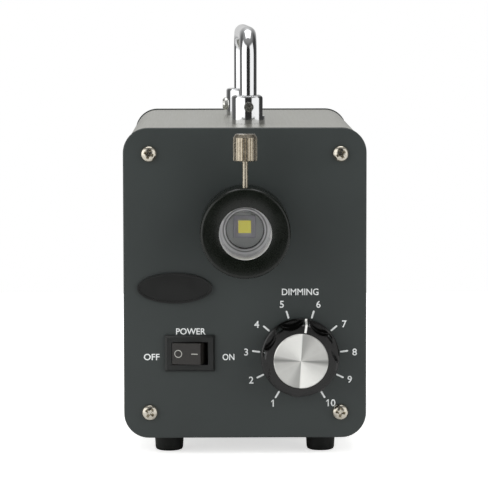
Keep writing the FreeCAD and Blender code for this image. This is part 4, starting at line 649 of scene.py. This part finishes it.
def text_mesh(words, cap_height, width=None):
    """Plain capitals or numbers, centred, at a cap height in millimetres."""
    curve = bpy.data.curves.new("words", "FONT")
    curve.body = words
    curve.align_x = "CENTER"
    curve.align_y = "CENTER"
    curve.extrude = LETTER_DEPTH
    curve.offset = LETTER_THICKENING
    curve.resolution_u = 4
    holder = bpy.data.objects.new("words", curve)
    scene.collection.objects.link(holder)
    bpy.context.view_layer.update()
    graph = bpy.context.evaluated_depsgraph_get()
    mesh = bpy.data.meshes.new_from_object(holder.evaluated_get(graph))
    bpy.data.objects.remove(holder)
    bpy.data.curves.remove(curve)
    xs = [vertex.co.x for vertex in mesh.vertices]
    ys = [vertex.co.y for vertex in mesh.vertices]
    zs = [vertex.co.z for vertex in mesh.vertices]
    scale_y = cap_height / (max(ys) - min(ys))
    scale_x = width / (max(xs) - min(xs)) if width else scale_y
    scale_z = PRINT_LIFT / (max(zs) - min(zs))
    middle_x = (max(xs) + min(xs)) / 2
    middle_y = (max(ys) + min(ys)) / 2
    low_z = min(zs)
    for vertex in mesh.vertices:
        x, y, z = vertex.co
        vertex.co = (
            (x - middle_x) * scale_x * MM,
            -(z - low_z) * scale_z * MM,
            (y - middle_y) * scale_y * MM,
        )
    return mesh


ONE_SHARES = [
    (-0.03, -0.5), (0.12, -0.5), (0.12, 0.5), (0.0075, 0.5),
    (-0.24, 0.27), (-0.24, 0.13), (-0.03, 0.3),
]


def one_mesh(cap_height):
    """The figure 1 with its flag, centred."""
    size = cap_height * MM
    return prism([(x * size, z * size) for x, z in ONE_SHARES], PRINT_LIFT * MM)


def print_words(name, words, x, z, cap_height, width=None):
    mesh = one_mesh(cap_height) if words == "1" else text_mesh(words, cap_height, width)
    mesh.transform(Matrix.Translation(on_panel(x, z)))
    add_piece(name, mesh, legend_white, "case")


knob_low, knob_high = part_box("knob_cap")
knob_x = (knob_low.x + knob_high.x) / 2 / MM
knob_z = ((knob_low.z + knob_high.z) / 2 - BASE_Z) / MM
TICK_ANGLES = [-149.0, -115.9, -82.8, -49.7, -16.55, 16.55, 49.7, 82.8, 115.9, 149.0]
TICK_INNER, TICK_OUTER, TICK_WIDTH = 16.9, 20.4, 0.75
NUMBER_PLACES = [
    (11.69, 14.64), (2.55, 24.5), (0.45, 36.4), (4.9, 48.1), (15.46, 56.56),
    (30.84, 56.52), (41.75, 48.2), (46.1, 36.3), (44.05, 24.7), (36.23, 14.74),
]
NUMBER_HEIGHT = 3.0
TEN_LEFT, TEN_RIGHT = -1.35, 0.85

for index, angle in enumerate(TICK_ANGLES):
    outline = [
        (x * MM, z * MM)
        for x, z in bar_outline(TICK_OUTER - TICK_INNER, TICK_WIDTH)
    ]
    mesh = prism(outline, PRINT_LIFT * MM)
    turn = Matrix.Rotation(math.radians(angle), 4, "Y")
    reach = Matrix.Translation((0, 0, (TICK_INNER + TICK_OUTER) / 2 * MM))
    mesh.transform(Matrix.Translation(on_panel(knob_x, knob_z)) @ turn @ reach)
    add_piece(f"dial_tick_{index + 1}", mesh, legend_white, "case")
    x, z = NUMBER_PLACES[index]
    if index < 9:
        print_words(f"dial_number_{index + 1}", str(index + 1), x, z, NUMBER_HEIGHT)
    else:
        print_words("dial_number_10_left", "1", x + TEN_LEFT, z, NUMBER_HEIGHT)
        print_words("dial_number_10_right", "0", x + TEN_RIGHT, z, NUMBER_HEIGHT)

# Name, words, place from the plate's lower middle, height and width
LEGENDS = [
    ("legend_power", "POWER", -22.8, 45.2, 2.7, 12.4),
    ("legend_off", "OFF", -39.3, 34.4, 2.7, 6.6),
    ("legend_on", "ON", -7.0, 34.3, 2.7, 5.0),
    ("legend_dimming", "DIMMING", 23.2, 61.8, 2.8, 15.4),
]
for legend in LEGENDS:
    print_words(*legend)


# Marks on the rocker's face

rocker = next(joint for joint in frame["joints"] if joint["name"] == "rocker_tilt")
pivot = Vector(rocker["pos_m"])
ROCKER_REST = math.radians(10.5)
FACE_REACH = 8.2
MARK_ACROSS = 3.45
CIRCLE_OUTER, CIRCLE_INNER = 1.66, 1.32
DASH_LENGTH, DASH_WIDTH = 2.9, 0.40


def on_rocker(mesh, across):
    """Lays a flat shape on the rocker's face, a distance across it from its middle."""
    lay = Matrix.Translation((across * MM, -FACE_REACH * MM, 0))
    turn = Matrix.Rotation(-ROCKER_REST, 4, "Z")
    mesh.transform(Matrix.Translation(pivot) @ turn @ lay)


circle = turned([
    (CIRCLE_INNER, 0.0), (CIRCLE_OUTER, 0.0), (CIRCLE_OUTER, PRINT_LIFT), (CIRCLE_INNER, PRINT_LIFT),
], 48)
on_rocker(circle, -MARK_ACROSS)
add_piece("rocker_mark_off", circle, rocker_grey, "rocker")
dash = prism(
    [(x * MM, z * MM) for x, z in bar_outline(DASH_LENGTH, DASH_WIDTH)], PRINT_LIFT * MM
)
dash.transform(Matrix.Rotation(math.radians(90), 4, "Y"))
on_rocker(dash, MARK_ACROSS)
add_piece("rocker_mark_on", dash, rocker_grey, "rocker")


# Thread of the thumb screw

FLANK_SHARE = 0.45
THREAD_STEPS = 20


def thread_mesh(root, crest, pitch, low, high):
    """A thread's ridge alone, wound about the Z axis."""
    work = bmesh.new()
    steps = THREAD_STEPS
    count = int((high - low) / pitch * steps)
    rows = []
    for index in range(count + 1):
        angle = 2 * math.pi * index / steps
        z = low + pitch * index / steps
        cos, sin = math.cos(angle), math.sin(angle)
        rows.append([
            work.verts.new((root * cos, root * sin, z - pitch * FLANK_SHARE)),
            work.verts.new((crest * cos, crest * sin, z)),
            work.verts.new((root * cos, root * sin, z + pitch * FLANK_SHARE)),
        ])
    for first, second in zip(rows, rows[1:]):
        for side in range(3):
            after = (side + 1) % 3
            work.faces.new([first[side], first[after], second[after], second[side]])
    work.faces.new(rows[0])
    work.faces.new(list(reversed(rows[-1])))
    return finished(work, "thread")


screw_low, screw_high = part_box("thumb_screw")
axis = Vector(((screw_low.x + screw_high.x) / 2, (screw_low.y + screw_high.y) / 2, 0.0))
HEAD_HEIGHT = 11.1 * MM
THREAD_PITCH = 0.45 * MM
THREAD_ROOT, THREAD_CREST = 1.19 * MM, 1.24 * MM
thread = thread_mesh(
    THREAD_ROOT,
    THREAD_CREST,
    THREAD_PITCH,
    screw_low.z + THREAD_PITCH,
    screw_high.z - HEAD_HEIGHT - THREAD_PITCH,
)
thread.transform(Matrix.Translation(axis))
add_piece("thumb_screw_thread", thread, thumb_steel, "thumb_screw")


# Screws of the plates and the fan guard

def carved(mesh, cutter):
    """What is left of one closed mesh when another is taken away."""
    body = bpy.data.objects.new("body", mesh)
    tool = bpy.data.objects.new("tool", cutter)
    for item in (body, tool):
        scene.collection.objects.link(item)
    cut = body.modifiers.new("cut", "BOOLEAN")
    cut.operation = "DIFFERENCE"
    cut.solver = "EXACT"
    cut.object = tool
    bpy.context.view_layer.update()
    graph = bpy.context.evaluated_depsgraph_get()
    left = bpy.data.meshes.new_from_object(body.evaluated_get(graph))
    bpy.data.objects.remove(body)
    bpy.data.objects.remove(tool)
    return left


def wedge(half_length, half_width, reach, low_length, low_width, low):
    """A tapered bar for cutting one arm of a cross recess."""
    work = bmesh.new()
    ends = []
    for x, z, y in ((half_length, half_width, reach), (low_length, low_width, low)):
        corners = ((-x, -z), (x, -z), (x, z), (-x, z))
        ends.append([work.verts.new((right * MM, -y * MM, up * MM)) for right, up in corners])
    top, bottom = ends
    work.faces.new(top)
    work.faces.new(list(reversed(bottom)))
    for index in range(4):
        after = (index + 1) % 4
        work.faces.new([top[index], bottom[index], bottom[after], top[after]])
    return finished(work, "wedge")


# Shares of the head's radius and height, then shares of the shank's radius
HEAD_SHARES = [
    (0, 1.0), (0.34, 0.985), (0.62, 0.90), (0.82, 0.73), (0.94, 0.48), (1.0, 0.16), (0.985, 0.0),
]
SHANK_ROOT_SHARE, SHANK_TIP_SHARE, SHANK_END_SHARE = 0.84, 0.8, 0.55
SCREW_PITCH = 0.7
CREST_SHARE, ROOT_SHARE = 0.35, 0.8
TIP_LENGTH = 0.3
RECESS_LENGTH_SHARE, RECESS_WIDTH_SHARE = 0.66, 0.165
RECESS_LOW_LENGTH_SHARE, RECESS_LOW_WIDTH_SHARE, RECESS_LOW_SHARE = 0.28, 0.12, 0.08
OVERRUN = 0.2


def screw_mesh(head, height, shank, length):
    """A pan head with a cross recess, on a threaded shank."""
    outline = [(head * across, height * up) for across, up in HEAD_SHARES]
    outline.append((shank, 0.0))
    for index in range(int(length / SCREW_PITCH) - 1):
        outline.append((shank, -(index + CREST_SHARE) * SCREW_PITCH))
        outline.append((shank * SHANK_ROOT_SHARE, -(index + ROOT_SHARE) * SCREW_PITCH))
    outline += [
        (shank * SHANK_TIP_SHARE, -length + TIP_LENGTH),
        (shank * SHANK_END_SHARE, -length),
        (0, -length),
    ]
    mesh = turned(outline, 40)
    for angle in (0, 90):
        arm = wedge(
            head * RECESS_LENGTH_SHARE,
            head * RECESS_WIDTH_SHARE,
            height + OVERRUN,
            head * RECESS_LOW_LENGTH_SHARE,
            head * RECESS_LOW_WIDTH_SHARE,
            height * RECESS_LOW_SHARE,
        )
        arm.transform(Matrix.Rotation(math.radians(angle), 4, "Y"))
        mesh = carved(mesh, arm)
    return mesh


def joined(name, mesh, places):
    """One mesh of several copies, each at its own place."""
    work = bmesh.new()
    for place in places:
        copy = mesh.copy()
        copy.transform(place)
        work.from_mesh(copy)
        bpy.data.meshes.remove(copy)
    out = bpy.data.meshes.new(name)
    work.to_mesh(out)
    work.free()
    return out


def screw_set(node, seat, head, shank, turns, to_front):
    """Four screws that stand for a node of four, at the corners of its box."""
    low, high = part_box(node)
    top, tip = (low.y, high.y) if to_front else (high.y, low.y)
    mesh = screw_mesh(head, abs(top - seat) / MM, shank, abs(tip - seat) / MM)
    inset = head * MM
    corners = [
        (x, z) for z in (high.z - inset, low.z + inset) for x in (low.x + inset, high.x - inset)
    ]
    places = []
    for (x, z), turn in zip(corners, turns):
        about = Matrix.Rotation(math.radians(turn), 4, "Y")
        if not to_front:
            about = Matrix.Rotation(math.pi, 4, "Z") @ about
        places.append(Matrix.Translation((x, seat, z)) @ about)
    name = node + "_detailed"
    piece = add_piece(name, joined(name, mesh, places), screw_steel, "case")
    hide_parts(node)


rear_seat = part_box("rear_panel")[1].y
guard_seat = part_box("fan_guard")[1].y
screw_set("front_panel_screws", FRONT_Y, 3.5, 1.9, (18, 62, 35, 8), to_front=True)
screw_set("rear_panel_screws", rear_seat, 3.5, 1.9, (40, 5, 71, 26), to_front=False)
screw_set("fan_screws", guard_seat, 3.7, 1.85, (12, 55, 80, 33), to_front=False)


# Collar and lens of the light port

port_low, port_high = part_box("port_collar")
PORT_X = (port_low.x + port_high.x) / 2
PORT_Z = (port_low.z + port_high.z) / 2
COLLAR = (port_high.x - PORT_X) / MM
REACH = (FRONT_Y - port_low.y) / MM
LINER = 11.72
COLLAR_EDGE = 1.35
EDGE_STEPS = 8
ROD_HOLE, ROD_HOLE_LENGTH, ROD_OUT = 1.26, 14, 16.5
ROD_HOLE_ABOVE_LINER = 5
# Radius, and depth behind the collar's front
LIP = [(11.15, 0), (10.9, 0.12), (10.86, 0.34), (LINER, 0.36)]
LENS_RIM, LENS_CROWN, LENS_SAG = 9.1, 7.7, 1.25
LENS_FLANGE, LENS_BEVEL = 2.2, 0.2
CROWN_STEPS = 12


def at_port(mesh):
    mesh.transform(Matrix.Translation((PORT_X, FRONT_Y, PORT_Z)))
    return mesh


def rod_hole():
    """What is cut out of the collar for the rod of the thumb screw."""
    work = bmesh.new()
    radius = ROD_HOLE * MM
    bmesh.ops.create_cone(
        work, cap_ends=True, segments=32, radius1=radius, radius2=radius, depth=ROD_HOLE_LENGTH * MM
    )
    mesh = bpy.data.meshes.new("rod_hole")
    work.to_mesh(mesh)
    work.free()
    mesh.transform(Matrix.Translation((0.0, -ROD_OUT * MM, (LINER + ROD_HOLE_ABOVE_LINER) * MM)))
    return mesh


def collar_mesh():
    """A ring with a round outer edge and a thin inner lip that covers the end of the sleeve."""
    rim = [(LINER, 0.0), (COLLAR, 0.0), (COLLAR, REACH - COLLAR_EDGE)]
    for step in range(1, EDGE_STEPS + 1):
        angle = math.radians(90 * step / EDGE_STEPS)
        rim.append((
            COLLAR - COLLAR_EDGE + COLLAR_EDGE * math.cos(angle),
            REACH - COLLAR_EDGE + COLLAR_EDGE * math.sin(angle),
        ))
    rim += [(radius, REACH - depth) for radius, depth in LIP]
    return carved(turned(rim, 128), rod_hole())


def lens_mesh():
    """A flat back with a bevelled flange, and a crown that bulges towards the viewer."""
    low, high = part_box("condenser_lens")
    back = (FRONT_Y - high.y) / MM
    front = (FRONT_Y - low.y) / MM
    shoulder = back + LENS_FLANGE
    outline = [
        (0, back), (LENS_RIM - LENS_BEVEL, back), (LENS_RIM, back + LENS_BEVEL),
        (LENS_RIM, shoulder - LENS_BEVEL), (LENS_RIM - LENS_BEVEL, shoulder),
        (LENS_CROWN, shoulder), (LENS_CROWN, front - LENS_SAG),
    ]
    for step in range(CROWN_STEPS - 1, -1, -1):
        share = step / CROWN_STEPS
        outline.append((LENS_CROWN * share, front - LENS_SAG * share ** 2))
    return turned(outline, 96)


collar_piece = add_piece(
    "port_collar_turned", at_port(collar_mesh()), collar_black, "case"
)
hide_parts("port_collar")
lens_piece = add_piece(
    "condenser_lens_ground", at_port(lens_mesh()), lens_glass, "case"
)
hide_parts("condenser_lens")

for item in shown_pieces():
    if item.type == "MESH" and not item.name.startswith(("dial_", "legend_")):
        smooth_by_angle(item.data)


# Floor, light and camera

FLOOR = 0.55
FLOOR_GLOW = 0.62
FILL_LEVEL = 0.42
ROOM_BACK_LEVEL = 0.52
ROOM_TOP_LEVEL = 0.30


def floor_material():
    """Pale floor that reads as white, with the object's shadow kept."""
    mat, tree, links = new_material("floor_paper")
    coordinates = tree.new("ShaderNodeTexCoord")
    fibre = noise(tree, links, coordinates.outputs["Object"], 300)
    paper = tree.new("ShaderNodeBsdfDiffuse")
    tone = tree.new("ShaderNodeMix")
    tone.data_type = "RGBA"
    tone.inputs["A"].default_value = (0.86, 0.86, 0.86, 1.0)
    tone.inputs["B"].default_value = (0.88, 0.88, 0.88, 1.0)
    links.new(fibre.outputs["Fac"], tone.inputs["Factor"])
    links.new(tone.outputs["Result"], paper.inputs["Color"])
    glow = tree.new("ShaderNodeEmission")
    glow.inputs["Color"].default_value = (1.0, 1.0, 1.0, 1.0)
    path = tree.new("ShaderNodeLightPath")
    seen = tree.new("ShaderNodeMath")
    seen.operation = "MULTIPLY"
    seen.inputs[1].default_value = FLOOR_GLOW
    links.new(path.outputs["Is Camera Ray"], seen.inputs[0])
    links.new(seen.outputs[0], glow.inputs["Strength"])
    both = tree.new("ShaderNodeAddShader")
    links.new(paper.outputs["BSDF"], both.inputs[0])
    links.new(glow.outputs["Emission"], both.inputs[1])
    output = tree.new("ShaderNodeOutputMaterial")
    links.new(both.outputs["Shader"], output.inputs["Surface"])
    return mat


floor_mesh = bpy.data.meshes.new("floor")
floor_mesh.from_pydata(
    [(-FLOOR, -FLOOR, 0), (FLOOR, -FLOOR, 0), (FLOOR, FLOOR, 0), (-FLOOR, FLOOR, 0)],
    [],
    [(0, 1, 2, 3)],
)
floor_mesh.materials.append(floor_material())
floor = bpy.data.objects.new("floor", floor_mesh)
scene.collection.objects.link(floor)

world = bpy.data.worlds.new("studio")
scene.world = world
world.use_nodes = True
tree, links = world.node_tree.nodes, world.node_tree.links
tree.clear()
path = tree.new("ShaderNodeLightPath")
fill = tree.new("ShaderNodeBackground")
fill.inputs["Color"].default_value = (1.0, 1.0, 1.0, 1.0)
fill.inputs["Strength"].default_value = FILL_LEVEL
white = tree.new("ShaderNodeBackground")
white.inputs["Color"].default_value = (1.0, 1.0, 1.0, 1.0)
white.inputs["Strength"].default_value = 1.0
room = tree.new("ShaderNodeBackground")
coordinates = tree.new("ShaderNodeTexCoord")
split = tree.new("ShaderNodeSeparateXYZ")
links.new(coordinates.outputs["Generated"], split.inputs["Vector"])


def step_between(source, low, high, to_low, to_high):
    """A soft step from one level to the other as the source goes from low to high."""
    node = tree.new("ShaderNodeMapRange")
    node.interpolation_type = "SMOOTHSTEP"
    node.inputs["From Min"].default_value = low
    node.inputs["From Max"].default_value = high
    node.inputs["To Min"].default_value = to_low
    node.inputs["To Max"].default_value = to_high
    links.new(source, node.inputs["Value"])
    return node.outputs["Result"]


def combined(kind, first, second):
    node = tree.new("ShaderNodeMath")
    node.operation = kind
    links.new(first, node.inputs[0])
    if isinstance(second, float):
        node.inputs[1].default_value = second
    else:
        links.new(second, node.inputs[1])
    return node.outputs[0]


# What metal and gloss see: a dark room with a tall white screen on each side, grey behind.
toward = combined("MULTIPLY", split.outputs["Y"], -1.0)
bearing = combined("ARCTAN2", split.outputs["X"], toward)
around = combined("DIVIDE", bearing, math.radians(1.0))
leftward = combined("MULTIPLY", around, -1.0)
SCREEN_NEAR_EDGE = (21, 27)


def screen(side, level, far_edge):
    """A white screen on one side, between two bearings in degrees."""
    near = step_between(side, *SCREEN_NEAR_EDGE, 0, level)
    return combined("MULTIPLY", near, step_between(side, *far_edge, 1, 0))


left_screen = screen(leftward, 1.5, (90, 100))
right_screen = screen(around, 1.1, (74, 82))
screens = combined(
    "MULTIPLY",
    combined("ADD", left_screen, right_screen),
    step_between(split.outputs["Z"], 0.55, 0.7, 1, 0),
)
aside = combined("ABSOLUTE", around, 0.0)
behind = step_between(aside, 120, 180, 0.0, ROOM_BACK_LEVEL)
overhead = step_between(split.outputs["Z"], 0.45, 0.95, 0.0, ROOM_TOP_LEVEL)
flanks = combined(
    "ADD", step_between(leftward, 20, 110, 0.02, 0.11), step_between(around, 20, 110, 0.01, 0.03)
)
level_of_room = combined("ADD", combined("ADD", screens, overhead), combined("ADD", behind, flanks))
links.new(level_of_room, room.inputs["Strength"])
room.inputs["Color"].default_value = (1.0, 1.0, 1.0, 1.0)
glossy = tree.new("ShaderNodeMixShader")
links.new(path.outputs["Is Glossy Ray"], glossy.inputs["Fac"])
links.new(fill.outputs["Background"], glossy.inputs[1])
links.new(room.outputs["Background"], glossy.inputs[2])
seen = tree.new("ShaderNodeMath")
seen.operation = "MAXIMUM"
links.new(path.outputs["Is Camera Ray"], seen.inputs[0])
links.new(path.outputs["Is Transmission Ray"], seen.inputs[1])
final = tree.new("ShaderNodeMixShader")
links.new(seen.outputs[0], final.inputs["Fac"])
links.new(glossy.outputs["Shader"], final.inputs[1])
links.new(white.outputs["Background"], final.inputs[2])
output = tree.new("ShaderNodeOutputWorld")
links.new(final.outputs["Shader"], output.inputs["Surface"])


CENTRE = (0.0, 0.0, 0.08)


def softbox(name, place, width, height, power, mirrored=False):
    lamp = bpy.data.lights.new(name, "AREA")
    lamp.shape = "RECTANGLE"
    lamp.size = width
    lamp.size_y = height
    lamp.energy = power
    item = bpy.data.objects.new(name, lamp)
    scene.collection.objects.link(item)
    item.location = place
    direction = Vector(CENTRE) - Vector(place)
    item.rotation_euler = direction.to_track_quat("-Z", "Y").to_euler()
    item.visible_glossy = mirrored


softbox("softbox_left", (-1.0, -0.75, 0.55), 0.9, 1.1, 9.0)
softbox("softbox_right", (1.0, -0.8, 0.5), 0.8, 1.0, 7.0)
softbox("softbox_top", (0.0, 0.2, 1.5), 1.2, 1.2, 9.0, mirrored=True)

PITCH_DOWN, YAW, ROLL = 0.0905, 0.0089, -0.0016
CAMERA_X, CAMERA_AHEAD, CAMERA_UP = -0.010886, 1.17994, 0.18912
FOCAL_PIXELS, FRAME_PIXELS = 2826.0, 488.0
forward = Vector((
    math.sin(YAW) * math.cos(PITCH_DOWN),
    math.cos(YAW) * math.cos(PITCH_DOWN),
    -math.sin(PITCH_DOWN),
))
level = Vector((math.cos(YAW), -math.sin(YAW), 0.0))
upright = level.cross(forward)
across = math.cos(ROLL) * level + math.sin(ROLL) * upright
upward = -math.sin(ROLL) * level + math.cos(ROLL) * upright
lens = bpy.data.cameras.new("camera")
lens.sensor_width = 36.0
lens.lens = FOCAL_PIXELS / FRAME_PIXELS * lens.sensor_width
lens.clip_start = 0.05
lens.clip_end = 20.0
camera = bpy.data.objects.new("camera", lens)
scene.collection.objects.link(camera)
placed = Matrix((across, upward, -forward)).transposed().to_4x4()
placed.translation = (CAMERA_X, FRONT_Y - CAMERA_AHEAD, BASE_Z + CAMERA_UP)
camera.matrix_world = placed
scene.camera = camera

scene.view_settings.view_transform = "Standard"
